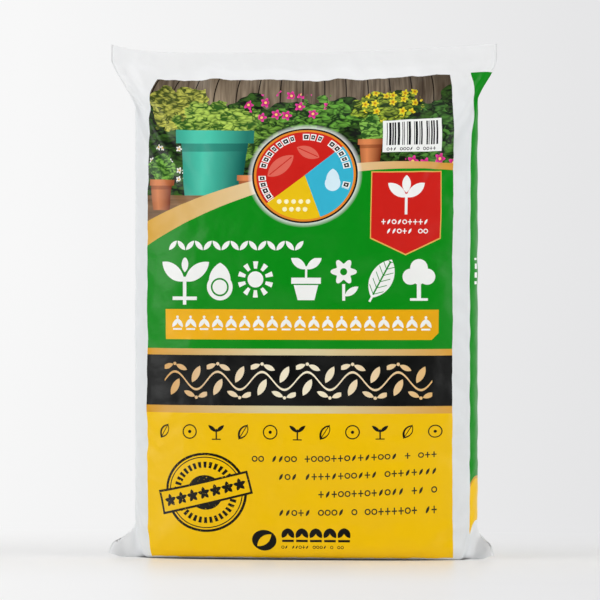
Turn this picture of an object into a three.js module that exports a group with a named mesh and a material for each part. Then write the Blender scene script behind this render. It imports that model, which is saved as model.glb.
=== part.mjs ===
// A filled compost bag standing on its base: a tube of plastic film, welded flat across both ends and packed
// with soil. The bag is sealed, so it is one solid. Millimetres, +Z up, the printed front facing -Y, and the
// origin on the floor under the middle of the bag.
//
// Every level of the bag is one closed loop round the film. In the body the loop is a rounded box, at the top
// it flattens into the welded band with an ear at each end, and under the base it closes onto the folded seam.

import * as THREE from "three";

// Sizes of the empty bag, and of the filling
const FLAT_WIDTH = 400; // across the empty bag, from crease to crease
const FLAT_LENGTH = 600; // down the empty bag, from edge to edge
const SEAL_BAND = 18; // height of the weld at each end; the lower one lies folded flat under the bag
const FILM_PAIR = 1; // two films lying together, with a little air between them
const BODY_DEPTH = 112; // front to back, where the filled body is deepest
const BASE_DEPTH = 104; // front to back, where the body meets the floor

// What the filling takes from the film: width for each millimetre of depth, and height in all its curves
const SIDE_DRAW = 0.41;
const CURVE_LOSS = 12;
const BODY_SHIFT = 2.6; // the full body sits this far to the right of its top edge's middle

// Base: the film turns under the bag with this radius, and above the flare the body has its full depth
const BASE_EDGE_RADIUS = 12;
const BASE_FLARE = 120;
const SEAM_SHARE = 0.05; // the folded seam takes up this share of the underside, to each side of its middle

// Shoulder: the body narrows towards the welded band over this height, and the film gathers in soft pleats
const SHOULDER_DROP = 230;
const PLEAT_DEPTH = 2;
const PLEAT_LENGTH = 58;
const PLEAT_DROP = 70;

// Top ears: their corners stand higher than the middle of the top edge, and they run back into the body. The
// edge climbs late to the left corner and early to the right one.
const TOP_SAG = 9;
const TOP_EAR_DROP = 48;
const TOP_EAR_LIFT = 150; // the film's rows climb to the ears over this height
const CLIMB_LEFT = 6.8;
const CLIMB_RIGHT = 1.5;

// Lower ears: each one is a low wedge on the floor, bent a little to the front
const FOOT_EAR_HEIGHT = 38; // where it leaves the body
const FOOT_EAR_END = 14; // at its blunt outer end
const FOOT_EAR_BEND = 35;
const FOOT_EAR_START = 0.88; // it takes the film beyond this share of the half width
const FOOT_EAR_LIFT = 150; // above this height the film's rows are level again

// The welded band is never quite straight.
const BAND_WAVE = 3;
const BAND_WAVE_LENGTH = 260;

// Print: bare film beside it and above it, then its fields of colour from the top down. The lowest field takes
// what is left, down to the floor.
const PRINT_SIDE_MARGIN = 40; // of film, up to the crease
const PRINT_TOP_MARGIN = 10;
const PICTURE_HEIGHT = 113;
const GREEN_HEIGHT = 163;
const BAND_HEIGHT = 53;
const GOLD_LINE = 7;
const PRINT_FIELDS = [
  { height: PICTURE_HEIGHT, colour: "#5f6338" }, // garden picture
  { height: GREEN_HEIGHT, colour: "#12851f" },
  { height: GOLD_LINE, colour: "#d9b878" },
  { height: BAND_HEIGHT, colour: "#1b1b1c" },
  { height: GOLD_LINE, colour: "#d9b878" },
];
const LOWEST_FIELD_COLOUR = "#e8bb0a";
const BACK_PRINT_COLOUR = "#12851f";
const FILM_COLOUR = "#e9eaec";

// Shape of a section: 2 is an ellipse, and more is boxier
const SECTION_POWER = 2.5;
// Ends of a section: the first is round, and the second runs out into a thin wing
const ROUND_END = 1 / SECTION_POWER;
const WING_END = 1.5;

// Fineness of the surface
const FRONT_COLUMNS = 22; // across the print
const SIDE_COLUMNS = 10; // round each side
const ROW_HEIGHT = 16;
const UNDERSIDE_ROWS = 4;
const EDGE_ROWS = 3;
const BAND_ROWS = 2;
const SECTION_STEPS = 200; // where a section's length is measured

const bodyWidth = FLAT_WIDTH - SIDE_DRAW * BODY_DEPTH;
const halfFlat = FLAT_WIDTH / 2;
const halfBody = bodyWidth / 2;
const middleTop = FLAT_LENGTH - SEAL_BAND - BASE_DEPTH / 2 - CURVE_LOSS; // height of the top edge's middle
const earTop = middleTop + TOP_SAG; // the same, at its corners
const earFoot = earTop - SEAL_BAND; // height of the welded band's lower edge, at the ears
const bandFoot = earFoot - TOP_SAG; // the same, in the middle
const earRoot = earFoot - TOP_EAR_DROP; // where the top ears leave the body

// 0 below the first edge, 1 above the second, and a smooth rise between them
const rise = (low, high, value) => THREE.MathUtils.smoothstep(value, low, high);

// How far a value has come from the first edge to the second, from 0 to 1
const way = (low, high, value) => THREE.MathUtils.clamp((value - low) / (high - low), 0, 1);

// Half the depth of the body at a height above the floor: full in the middle, a little less at the base, and
// running out to nothing at the welded band.
function halfDepthAt(z) {
  const below = 1 - way(0, BASE_FLARE, z);
  const full = BODY_DEPTH / 2 - ((BODY_DEPTH - BASE_DEPTH) / 2) * below ** 2;
  const shoulder = way(bandFoot, bandFoot - SHOULDER_DROP, z);
  return full * (1 - (1 - shoulder) ** 2) ** 0.75;
}

// How far the side has run out into an ear, by the side's height: 0 on the body, and 1 at the flat film's
// width. The lower ear's ridge is hollow, and the upper ear's is nearly straight.
function earAt(sideHeight) {
  const lower = (1 - way(FOOT_EAR_END, FOOT_EAR_HEIGHT, sideHeight)) ** 2.4;
  const upper = way(earRoot, earFoot, sideHeight) ** 1.2;
  return Math.max(lower, upper);
}

// A row is one level of the film: its height and half depth at the front, the height of its side, how much of
// a wing its ends are, and how far it belongs to the foot of the bag.
function undersideRow(share) {
  return {
    height: 0,
    halfDepth: (BASE_DEPTH / 2 - BASE_EDGE_RADIUS) * share,
    sideHeight: share > 0 ? THREE.MathUtils.lerp(FOOT_EAR_END, FOOT_EAR_HEIGHT, share) : 0,
    wing: 1 - share,
    foot: 1,
  };
}

function edgeRow(share) {
  const turn = (share * Math.PI) / 2;
  const height = BASE_EDGE_RADIUS * (1 - Math.cos(turn));
  return {
    height,
    halfDepth: halfDepthAt(0) - BASE_EDGE_RADIUS * (1 - Math.sin(turn)),
    sideHeight: FOOT_EAR_HEIGHT + height,
    wing: 0,
    foot: 1,
  };
}

function bodyRow(height) {
  const foot = 1 - rise(BASE_EDGE_RADIUS, FOOT_EAR_LIFT, height);
  const climb = TOP_SAG * rise(bandFoot - TOP_EAR_LIFT, bandFoot, height);
  const sideHeight = height + FOOT_EAR_HEIGHT * foot + climb;
  const edge = halfDepthAt(0) - halfDepthAt(BASE_EDGE_RADIUS);
  return {
    height,
    halfDepth: halfDepthAt(height) + edge * foot,
    sideHeight,
    wing: rise(earRoot - TOP_EAR_DROP / 2, earFoot, sideHeight),
    foot,
  };
}

function bandRow(share) {
  const height = bandFoot + SEAL_BAND * share;
  return { height, halfDepth: 0, sideHeight: height + TOP_SAG, wing: 1, foot: 0 };
}

// Even shares of a run, from the first after its start to its end
const shares = (count) => Array.from({ length: count }, (_, i) => (i + 1) / count);

// Heights of the body's rows: one on each edge of a printed field, and even steps between them
function bodyHeights() {
  const edges = [bandFoot, bandFoot - PRINT_TOP_MARGIN];
  for (const field of PRINT_FIELDS) edges.push(edges.at(-1) - field.height);
  edges.push(BASE_EDGE_RADIUS);
  edges.reverse();
  const heights = [];
  for (let i = 0; i + 1 < edges.length; i++) {
    const steps = Math.ceil((edges[i + 1] - edges[i]) / ROW_HEIGHT);
    for (const share of shares(steps)) heights.push(THREE.MathUtils.lerp(edges[i], edges[i + 1], share));
  }
  return heights;
}

const rows = [
  undersideRow(0),
  undersideRow(SEAM_SHARE),
  ...shares(UNDERSIDE_ROWS).map(undersideRow),
  ...shares(EDGE_ROWS).map(edgeRow),
  ...bodyHeights().map(bodyRow),
  ...shares(BAND_ROWS).map(bandRow),
];

// The film's columns, from the right crease along the back to the left crease, and along the front to the
// right one again. A column's place is its share of the flat film's half width, and one stands on each side
// edge of the print. Its face is 1 on the back, -1 on the front and 0 on a crease.
function filmColumns() {
  const print = (halfFlat - PRINT_SIDE_MARGIN) / halfFlat;
  const sideShares = shares(SIDE_COLUMNS / 2);
  const toLeft = [
    ...sideShares.map((share) => THREE.MathUtils.lerp(1, print, share)),
    ...shares(FRONT_COLUMNS).map((share) => THREE.MathUtils.lerp(print, -print, share)),
    ...sideShares.slice(0, -1).map((share) => THREE.MathUtils.lerp(-print, -1, share)),
  ];
  return [
    { place: 1, face: 0 },
    ...toLeft.map((place) => ({ place, face: 1 })),
    { place: -1, face: 0 },
    ...toLeft.map((place) => ({ place: -place, face: -1 })),
  ];
}

const columns = filmColumns();

// The length of film walked round a quarter of the full body, from the middle of the front to the side, and
// the share of the half width reached there
function quarterWalk() {
  const walk = [{ film: 0, share: 0 }];
  let last = new THREE.Vector2(0, BODY_DEPTH / 2);
  for (const step of shares(SECTION_STEPS)) {
    const angle = (Math.PI / 2) * (1 - step);
    const share = Math.cos(angle) ** (2 / SECTION_POWER);
    const bulge = Math.sin(angle) ** (2 / SECTION_POWER);
    const point = new THREE.Vector2(halfBody * share, (BODY_DEPTH / 2) * bulge);
    walk.push({ film: walk.at(-1).film + point.distanceTo(last), share });
    last = point;
  }
  return walk;
}

const walk = quarterWalk();

// The share of the half width that a piece of film has round the full body, from its share on the flat film
function roundShare(flatShare) {
  const film = flatShare * walk.at(-1).film;
  const next = Math.max(1, walk.findIndex((each) => each.film >= film));
  const [before, after] = [walk[next - 1], walk[next]];
  return THREE.MathUtils.mapLinear(film, before.film, after.film, before.share, after.share);
}

// A point of the film, on one row and column. The print keeps its width, so a flat row has the film's own
// shares and a full one has those round the body.
function pointOf(row, column) {
  const flatShare = Math.abs(column.place);
  const fullness = Math.min(1, row.halfDepth / (BODY_DEPTH / 2));
  const share = flatShare < 1 ? THREE.MathUtils.lerp(flatShare, roundShare(flatShare), fullness) : 1;
  const ear = earAt(row.sideHeight);
  const halfWidth = THREE.MathUtils.lerp(halfBody, halfFlat, ear);
  const x = BODY_SHIFT * (1 - ear) + Math.sign(column.place) * halfWidth * share;

  const climb = share ** (x < 0 ? CLIMB_LEFT : CLIMB_RIGHT);
  const lift = THREE.MathUtils.lerp(climb, rise(FOOT_EAR_START, 1, share), row.foot);
  const z = THREE.MathUtils.lerp(row.height, row.sideHeight, lift);

  const end = THREE.MathUtils.lerp(ROUND_END, WING_END, row.wing);
  const bulge = row.halfDepth * (1 - share ** SECTION_POWER) ** end + FILM_PAIR / 2;

  const gather = Math.sin(Math.PI * way(bandFoot, bandFoot - PLEAT_DROP, z)) * (1 - share ** 4);
  const pleat = PLEAT_DEPTH * gather * Math.sin((2 * Math.PI * x) / PLEAT_LENGTH);

  const wave = BAND_WAVE * rise(earRoot, earTop, z) * Math.sin((2 * Math.PI * x) / BAND_WAVE_LENGTH);
  const outside = way(halfBody - FOOT_EAR_BEND / 2, halfFlat, Math.abs(x));
  const bend = FOOT_EAR_BEND * outside ** 2 * row.foot;
  return new THREE.Vector3(x, column.face * (bulge + pleat) + wave - bend, z);
}

// The colour of the print on a patch of the film
function colourOf(middle, onPrint, onBack) {
  const inHeight = middle.z < bandFoot - PRINT_TOP_MARGIN && middle.z > BASE_EDGE_RADIUS / 4;
  if (!onPrint || !inHeight) return FILM_COLOUR;
  if (onBack) return BACK_PRINT_COLOUR;
  let edge = bandFoot - PRINT_TOP_MARGIN;
  for (const field of PRINT_FIELDS) {
    edge -= field.height;
    if (middle.z > edge) return field.colour;
  }
  return LOWEST_FIELD_COLOUR;
}

// Collects flat patches of film, each with one colour.
class Film {
  constructor() {
    this.positions = [];
    this.colours = [];
  }

  triangle(colour, ...corners) {
    const ink = new THREE.Color(colour);
    for (const corner of corners) {
      this.positions.push(...corner.toArray());
      this.colours.push(ink.r, ink.g, ink.b);
    }
  }

  // Four corners, anticlockwise from outside. Where two neighbours are the same point, it is one triangle.
  patch(colour, a, b, c, d) {
    if (a !== b && b !== c) this.triangle(colour, a, b, c);
    if (a !== d && c !== d) this.triangle(colour, a, c, d);
  }

  geometry() {
    const geometry = new THREE.BufferGeometry();
    geometry.setAttribute("position", new THREE.Float32BufferAttribute(this.positions, 3));
    geometry.setAttribute("color", new THREE.Float32BufferAttribute(this.colours, 3));
    geometry.computeVertexNormals();
    return geometry;
  }
}

// The closed surface: patches between the rows, and a narrow strip that closes the film's two end edges.
function bagGeometry() {
  const film = new Film();
  const count = columns.length;
  const half = count / 2;
  const loops = rows.map((row) => columns.map((column) => pointOf(row, column)));

  for (let level = 0; level + 1 < loops.length; level++) {
    const [lower, upper] = [loops[level], loops[level + 1]];
    for (let i = 0; i < count; i++) {
      const next = (i + 1) % count;
      const column = i % half;
      const onPrint = column >= SIDE_COLUMNS / 2 && column < half - SIDE_COLUMNS / 2;
      const middle = new THREE.Vector3().addVectors(lower[i], upper[next]).multiplyScalar(0.5);
      film.patch(colourOf(middle, onPrint, i < half), lower[i], lower[next], upper[next], upper[i]);
    }
  }

  const [bottom, top] = [loops[0], loops.at(-1)];
  for (let i = 0; i < half; i++) {
    const [front, nextFront] = [(count - i) % count, count - i - 1];
    film.patch(FILM_COLOUR, bottom[i], bottom[front], bottom[nextFront], bottom[i + 1]);
    film.patch(FILM_COLOUR, top[i], top[i + 1], top[nextFront], top[front]);
  }
  return film.geometry();
}

function compostBag() {
  const film = new THREE.MeshStandardMaterial({
    color: "#ffffff",
    roughness: 0.42,
    metalness: 0,
    vertexColors: true,
  });
  const bag = new THREE.Mesh(bagGeometry(), film);
  bag.name = "compost_bag";
  return bag;
}

const part = new THREE.Group();
part.add(compostBag());

export default part;
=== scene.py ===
# %% [markdown]
# # A bag of compost
#
# The object is one thing: a tube of white polyethylene film, printed on both sides, filled with potting mix
# and welded straight across both ends. It stands on its folded base. Everything that the eye sees is film,
# so this scene makes one surface with care and spends the rest of its effort on what is printed on it.

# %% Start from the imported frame
import math

import bpy
import numpy as np
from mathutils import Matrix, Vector


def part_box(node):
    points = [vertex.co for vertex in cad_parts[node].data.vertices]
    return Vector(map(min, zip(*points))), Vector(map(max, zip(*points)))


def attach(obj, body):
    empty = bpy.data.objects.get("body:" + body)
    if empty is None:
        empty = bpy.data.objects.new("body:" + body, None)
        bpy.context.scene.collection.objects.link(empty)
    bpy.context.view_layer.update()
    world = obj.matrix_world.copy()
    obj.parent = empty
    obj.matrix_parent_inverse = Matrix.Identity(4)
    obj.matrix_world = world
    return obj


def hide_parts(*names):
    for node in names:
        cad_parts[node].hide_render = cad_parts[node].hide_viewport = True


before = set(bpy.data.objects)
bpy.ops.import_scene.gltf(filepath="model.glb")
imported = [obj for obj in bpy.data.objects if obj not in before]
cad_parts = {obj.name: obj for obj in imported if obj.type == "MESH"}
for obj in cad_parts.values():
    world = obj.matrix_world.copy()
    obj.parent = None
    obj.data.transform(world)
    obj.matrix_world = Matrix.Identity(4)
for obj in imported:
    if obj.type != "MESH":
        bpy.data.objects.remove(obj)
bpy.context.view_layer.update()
low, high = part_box("compost_bag")
print(len(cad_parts), "node in the frame")
print("bag from", tuple(round(x, 3) for x in low), "to", tuple(round(x, 3) for x in high))

# %% [markdown]
# ## Sizes
#
# A lay-flat tube has one width and one length, and the filling takes from both: the deeper the body, the
# narrower and lower the bag stands. The outer sizes come from the frame, and the rest are the sizes of the
# real film. Lengths are written in millimetres, because a bag is drawn in millimetres, and `MM` turns them
# to metres where a mesh is made.

# %% Sizes of the film and of the filled bag
MM = 0.001

FLAT_WIDTH = (high.x - low.x) / MM  # across the empty bag
EAR_TOP = high.z / MM  # height of the top corners
FILM_PAIR = 0.6  # two films lying together
SPARE_DEPTH = 1  # of the frame's box, for the film itself
BODY_DEPTH = (high.y - low.y) / MM - SPARE_DEPTH
BASE_DEPTH = 104
WIDTH_TAKEN = 0.41  # of width, for each millimetre of depth
BODY_WIDTH = FLAT_WIDTH - WIDTH_TAKEN * BODY_DEPTH
BODY_SHIFT = 2.6  # the full body sits this far to the right of its top edge's middle
FOOT_SHIFT = 2  # and the lower ears this far to the left
SEAL_BAND = 18  # height of the weld
TOP_SAG = 9  # the middle of the top edge hangs this far below its corners
BASE_EDGE_RADIUS = 12
BASE_FLARE = 120  # above this height the body has its full depth
SHOULDER_DROP = 230  # the body narrows towards the weld over this height
SHOULDER_POWER = 0.75  # under 1, the shoulder stays full and then closes fast
SECTION_POWER = 2.5  # 2 is an ellipse, and more is boxier

half_flat = FLAT_WIDTH / 2
half_body = BODY_WIDTH / 2
band_foot = EAR_TOP - SEAL_BAND - TOP_SAG
ear_foot = EAR_TOP - SEAL_BAND
print(f"body {BODY_WIDTH:.0f} x {BODY_DEPTH:.0f} mm, weld at {band_foot:.0f} mm")

# %% [markdown]
# ## The form of the bag
#
# A film can't stretch, so each point of the bag is named by where it was on the flat tube: `s` runs round
# the tube, 0 down the middle of the front and 200 mm at a side crease, and `t` runs up it. The print is
# drawn in the same two numbers later, so it bends round the body as real print does.
#
# The form could be sculpted or inflated from a flat tube. Here it is worked out: each level of the film is
# a section with a half width, a half depth and a power for its ends, and those are smooth functions of the
# height. That keeps the silhouette exactly where the frame has it, and only the creases are left to add.

# %% Helpers for smooth changes
def way(start, end, value):
    """How far a value has come from the start to the end, from 0 to 1."""
    return np.clip((value - start) / (end - start), 0, 1)


def rise(start, end, value):
    """The same, but easing in and out: three times its square less twice its cube."""
    share = way(start, end, value)
    return share * share * (3 - 2 * share)


# %% Depth of the body
def half_depth(z):
    """Half the depth of the body: full in the middle, a little less at the base, and nothing at the weld.
    Towards the weld it is a power of one minus the square of how far up the shoulder a level lies."""
    full = BODY_DEPTH / 2 - (BODY_DEPTH - BASE_DEPTH) / 2 * (1 - way(0, BASE_FLARE, z)) ** 2
    shoulder = way(band_foot, band_foot - SHOULDER_DROP, z)
    return full * (1 - (1 - shoulder) ** 2) ** SHOULDER_POWER


for level in (0, BASE_FLARE, band_foot - SHOULDER_DROP / 2):
    print(f"half depth {half_depth(level):.1f} mm at {level:.0f} mm")

# %% Levels of the film, from the seam under the bag to the top edge
FOOT_EAR_HEIGHT = 38  # where a lower ear leaves the body
FOOT_EAR_END = 14  # its height at the blunt outer end
SEAM_END = 4  # height of the two ends of the lower seam
FOOT_EAR_LIFT = 150  # above this height the film's rows are level again
TOP_EAR_DROP = 48  # below the weld's foot, the film starts to become a wing
DROP_LEFT, DROP_RIGHT = 47, 38  # over which each top ear narrows
TOP_EAR_LIFT = 150  # and over which the rows climb to the corners

print(f"lower ears up to {FOOT_EAR_HEIGHT} mm, top ears down to {ear_foot - DROP_LEFT:.0f} mm")

# %% Rows under the bag and round its lower edge
# Each region gives, for its rows: the height and half depth at the front, the height of the side crease,
# how much of a wing the ends are, and how far the row belongs to the foot.
under = np.array([0, 0.05, 0.15, 0.3, 0.45, 0.6, 0.75, 0.9, 1])
under_depth = (BASE_DEPTH / 2 - BASE_EDGE_RADIUS) * under
under_side = np.where(under > 0, FOOT_EAR_END + (FOOT_EAR_HEIGHT - FOOT_EAR_END) * under, SEAM_END)

edge_turn = np.linspace(0, np.pi / 2, 6)[1:]
edge_height = BASE_EDGE_RADIUS * (1 - np.cos(edge_turn))
edge_depth = half_depth(0) - BASE_EDGE_RADIUS * (1 - np.sin(edge_turn))
print(len(under), "rows under the bag,", len(edge_turn), "round its lower edge")

# %% Rows of the body and of the weld
BODY_STEP = 4.8
FINE_STEP = 3.0
FINE_ZONE = 60  # under the weld
body_height = np.concatenate([
    np.linspace(BASE_EDGE_RADIUS, band_foot - FINE_ZONE, round((band_foot - FINE_ZONE) / BODY_STEP))[1:],
    np.linspace(band_foot - FINE_ZONE, band_foot, round(FINE_ZONE / FINE_STEP) + 1)[1:],
])
body_foot = 1 - rise(BASE_EDGE_RADIUS, FOOT_EAR_LIFT, body_height)
body_side = (body_height + FOOT_EAR_HEIGHT * body_foot
             + TOP_SAG * rise(band_foot - TOP_EAR_LIFT, band_foot, body_height))
body_depth = half_depth(body_height) + (half_depth(0) - half_depth(BASE_EDGE_RADIUS)) * body_foot
body_wing = rise(ear_foot - 1.5 * TOP_EAR_DROP, ear_foot, body_side)

band_height = band_foot + SEAL_BAND * np.linspace(0, 1, 6)[1:]
print(len(body_height), "rows up the body,", len(band_height), "up the weld")

# %% All rows together
row_height = np.concatenate([0 * under, edge_height, body_height, band_height])
row_depth = np.concatenate([under_depth, edge_depth, body_depth, 0 * band_height])
row_side = np.concatenate([under_side, FOOT_EAR_HEIGHT + edge_height, body_side, band_height + TOP_SAG])
row_wing = np.concatenate([1 - under, 0 * edge_turn, body_wing, 0 * band_height + 1])
row_foot = np.concatenate([0 * under + 1, 0 * edge_turn + 1, body_foot, 0 * band_height])

# The film's own length up the middle of the front: the length walked over the rows, with the weld before it
row_t = SEAL_BAND + np.concatenate([[0], np.cumsum(np.hypot(np.diff(row_height), np.diff(row_depth)))])
print(len(row_t), "rows, film length", round(row_t[-1]))

# %% Columns round the film
COLUMNS = 144

film_s = np.linspace(-FLAT_WIDTH, FLAT_WIDTH, COLUMNS + 1)[:-1]
on_front = np.abs(film_s) <= half_flat
from_middle = np.where(on_front, np.abs(film_s), FLAT_WIDTH - np.abs(film_s)) / half_flat
side = np.sign(film_s)

# Round the full body, a point's share of the half width comes from its length along the section.
angle = np.linspace(np.pi / 2, 0, 2001)
section_x = np.cos(angle) ** (2 / SECTION_POWER)
section_y = np.sin(angle) ** (2 / SECTION_POWER)
section_step = np.hypot(half_body * np.diff(section_x), BODY_DEPTH / 2 * np.diff(section_y))
walked = np.concatenate([[0], np.cumsum(section_step)])
round_share = np.interp(from_middle, walked / walked[-1], section_x)
print(f"the section takes {4 * walked[-1]:.0f} mm of the {2 * FLAT_WIDTH:.0f} mm of film round the tube")

# %% Sizes of the sections, the ears and the weld
FULL_SECTION = 0.45  # share of the depth from which a section is quite round
FOOT_EAR_TAPER, TOP_EAR_TAPER = 2.4, 1.2  # 1 is a straight edge, and more is a hollow one
FOOT_EAR_ROOT = 0.93  # share of the half width from which a lower ear climbs
FOOT_EAR_BEND = 4  # the lower ears bend this far to the front
WING_POWER = 1.5  # the end of a thin wing, where a round end has 1 / SECTION_POWER
BAND_WAVE = 3
BAND_WAVE_LENGTH = 260
CURL_LEFT, CURL_RIGHT = 6.8, 1.5  # how suddenly the top edge climbs to each corner
print(f"sections are quite round where they are over {FULL_SECTION * BODY_DEPTH:.0f} mm deep")


# %% The surface
def bag_points():
    """Every point of the film, as rows by columns by three. Across the bag a point is the row's half width
    times its share. Its depth is the row's half depth times one minus the share's power, raised to the
    end's power. Its height climbs from the front's to the side crease's near the ends."""
    depth = row_depth[:, None]
    wing = row_wing[:, None]
    foot = row_foot[:, None]
    fullness = rise(0, FULL_SECTION, depth / (BODY_DEPTH / 2))
    share = from_middle + (round_share - from_middle) * fullness

    side_height = row_side[:, None]
    lower = (1 - way(FOOT_EAR_END, FOOT_EAR_HEIGHT, side_height)) ** FOOT_EAR_TAPER
    ear_drop = np.where(side < 0, DROP_LEFT, DROP_RIGHT)
    upper = way(ear_foot - ear_drop, ear_foot, side_height) ** TOP_EAR_TAPER
    ear = np.maximum(lower, upper)
    half_width = half_body + (half_flat - half_body) * ear
    x = BODY_SHIFT * (1 - ear) - FOOT_SHIFT * lower + side * half_width * share

    curl = np.where(side < 0, CURL_LEFT, CURL_RIGHT)
    lift = share**curl * (1 - foot) + rise(FOOT_EAR_ROOT, 1, share) * foot
    z = row_height[:, None] + (row_side - row_height)[:, None] * lift

    end_power = 1 / SECTION_POWER + (WING_POWER - 1 / SECTION_POWER) * wing
    bulge = depth * (1 - share**SECTION_POWER) ** end_power
    bulge = bulge + np.where(from_middle < 1, FILM_PAIR / 2, 0)

    wave = BAND_WAVE * np.sin(2 * np.pi * x / BAND_WAVE_LENGTH) * rise(ear_foot - TOP_EAR_DROP, EAR_TOP, z)
    outside = way(half_body - FOOT_EAR_BEND / 2, half_flat, np.abs(x))
    y = np.where(on_front, -bulge, bulge) + wave - FOOT_EAR_BEND * outside**2 * foot
    return np.stack([x, y, z], axis=-1)


points = bag_points()
print("surface of", points.shape[0], "by", points.shape[1], "points")

# %% [markdown]
# ## Creases
#
# Film doesn't stretch, so wherever the filled form has less length than the film, the spare film stands up
# in creases: pleats fanning down from the weld, draws running from each ear, short wrinkles across the
# sides, and crumpled lower ears. Where the film is tight over the filling, only the lumps behind it show.
#
# Each kind is a small displacement along the surface, as a field of waves with seeded random directions and
# phases, held to its own place by smooth masks. A field of waves is used instead of random numbers for each
# point, because neighbouring points have to move together.

# %% Fields of waves
chance = np.random.default_rng(20)
PEAK = 1.6  # how many times its usual size a sum of waves goes


def ripple(u, v, length_u, length_v, waves=14):
    """A smooth random field, nearly all of it from -1 to 1: a sum of sine waves with random directions and
    phases, and with these typical lengths along u and v. The sum is divided by its usual size, which is
    the square root of half the count of waves, and by how far beyond that the field goes."""
    total = np.zeros(np.broadcast(u, v).shape)
    for _ in range(waves):
        turn, phase = chance.uniform(0, 2 * np.pi, 2)
        size = chance.uniform(0.6, 1.4)
        along = u * np.cos(turn) / length_u + v * np.sin(turn) / length_v
        total += np.sin(2 * np.pi * size * along + phase)
    return total / math.sqrt(waves / 2) / PEAK


def outward(grid):
    """The unit normal at each point of the grid: the cross product of the steps round the bag and up it."""
    closed = np.concatenate([grid[:, -1:], grid, grid[:, :1]], axis=1)
    across = closed[:, 2:] - closed[:, :-2]
    up = np.gradient(grid, axis=0)
    normal = np.cross(across, up)
    return normal / np.maximum(np.linalg.norm(normal, axis=-1, keepdims=True), 1e-9)


# %% Heights and lengths of the creases
LUMP, LUMP_LENGTH = 1.3, 70  # the filling's own lumps
DENT, DENT_LENGTH = 0.45, 26
PLEAT, PLEAT_LENGTH, PLEAT_DROP = 2.2, 46, 85  # fanning down from the weld, over this drop
PUCKER, PUCKER_LENGTH, PUCKER_DROP = 1.0, 17, 30  # right under the weld
WRINKLE, WRINKLE_LENGTH, WRINKLE_SLANT = 0.7, 21, 0.8  # across the sides
CRUMPLE, CRUMPLE_LENGTH = 2.0, 26  # at the lower corners
DRAW, DRAW_PITCH = 2.6, 34  # running down from each top ear
FLUTTER, FLUTTER_LENGTH = 1.1, 120  # of the top edge, as a whole
QUIVER, QUIVER_LENGTH = 0.8, 24  # and in small
EAR_FOLD, EAR_FOLD_LENGTHS = 4.5, (44, 20)

s_grid = np.broadcast_to(film_s, (len(row_t), COLUMNS))
t_grid = np.broadcast_to(row_t[:, None], s_grid.shape)
z_grid = points[:, :, 2]
from_crease = half_flat * (1 - from_middle)  # along the film, to the nearer side crease
raised = rise(0, 14, z_grid)  # the underside stays flat
print("creases over", s_grid.size, "points")


# %% Creases in the film
def creases():
    """Millimetres to move each point outwards, the sum of every kind of crease."""
    lumps = LUMP * ripple(s_grid, t_grid, LUMP_LENGTH, LUMP_LENGTH) * rise(10, 60, from_crease)
    dents = DENT * ripple(s_grid, t_grid, DENT_LENGTH, DENT_LENGTH, 24)

    below_weld = band_foot + TOP_SAG - z_grid
    fan = way(PLEAT_DROP, 6, below_weld) * rise(-2, 8, below_weld)
    pleats = PLEAT * ripple(s_grid, t_grid, PLEAT_LENGTH, 420, 12) * fan
    puckers = PUCKER * ripple(s_grid, t_grid, PUCKER_LENGTH, 120, 16)
    puckers = puckers * rise(PUCKER_DROP, 6, below_weld) * rise(-3, 4, below_weld)

    near_side = rise(62, 30, from_crease) * rise(4, 22, from_crease)
    slanted = t_grid + WRINKLE_SLANT * s_grid
    wrinkles = WRINKLE * ripple(s_grid, slanted, 110, WRINKLE_LENGTH, 18) * near_side
    patches = 0.5 + 0.5 * ripple(s_grid, t_grid, 90, 120, 8)
    wrinkles = wrinkles * (0.35 + 0.65 * np.clip(patches, 0, 1))

    low_corner = rise(60, 15, z_grid) * rise(80, 15, from_crease)
    on_body = rise(half_body + 4, half_body - 14, np.abs(points[:, :, 0]))
    crumple = CRUMPLE * ripple(s_grid, t_grid, CRUMPLE_LENGTH, 22, 20) * low_corner * on_body
    crumple = crumple * rise(0, 10, from_crease)

    draw = (band_foot - z_grid) - 1.5 * (from_crease - 10)
    draws = DRAW * np.sin(2 * np.pi * draw / DRAW_PITCH) * np.exp(-((draw - 14) / DRAW_PITCH) ** 2)
    draws = draws * rise(110, 40, from_crease) * rise(0, 16, from_crease) * rise(-4, 14, below_weld)

    return (lumps + dents + pleats + puckers + wrinkles + crumple + draws) * raised


# %% Move the film
on_band = rise(band_foot - 4, band_foot + 6, z_grid - TOP_SAG * from_middle**4)
moved = creases() * (1 - on_band)

# The two films can't pass through each other: where they lie close together, neither moves far inwards.
INWARDS = 0.7  # of the way to the middle
opposite = (COLUMNS // 2 - np.arange(COLUMNS)) % COLUMNS
room = np.abs(points[:, :, 1] - points[:, opposite, 1]) / 2
moved = np.maximum(moved, -INWARDS * room)

flutter = (FLUTTER * ripple(points[:, :, 0], z_grid, FLUTTER_LENGTH, 160, 10)
           + QUIVER * ripple(points[:, :, 0], z_grid, QUIVER_LENGTH, 70, 20))
flutter = flutter * rise(band_foot - 30, EAR_TOP, z_grid)

# The lower ears are folded over and over. A fold is sharp, so it is the size of a wave without its sign.
on_foot_ear = rise(half_body - 20, half_body + 4, np.abs(points[:, :, 0])) * rise(66, 36, z_grid)
folds = np.abs(ripple(points[:, :, 0], z_grid, EAR_FOLD_LENGTHS[0], 30, 9))
folds = folds + 0.5 * np.abs(ripple(points[:, :, 0], z_grid, EAR_FOLD_LENGTHS[1], 26, 9))
points = points + outward(points) * moved[:, :, None]
points[:, :, 1] += flutter - EAR_FOLD * folds * on_foot_ear
points[:, :, 2] = np.maximum(points[:, :, 2], 0)
print("film moved by up to", round(float(np.abs(moved).max()), 1), "mm")

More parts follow.
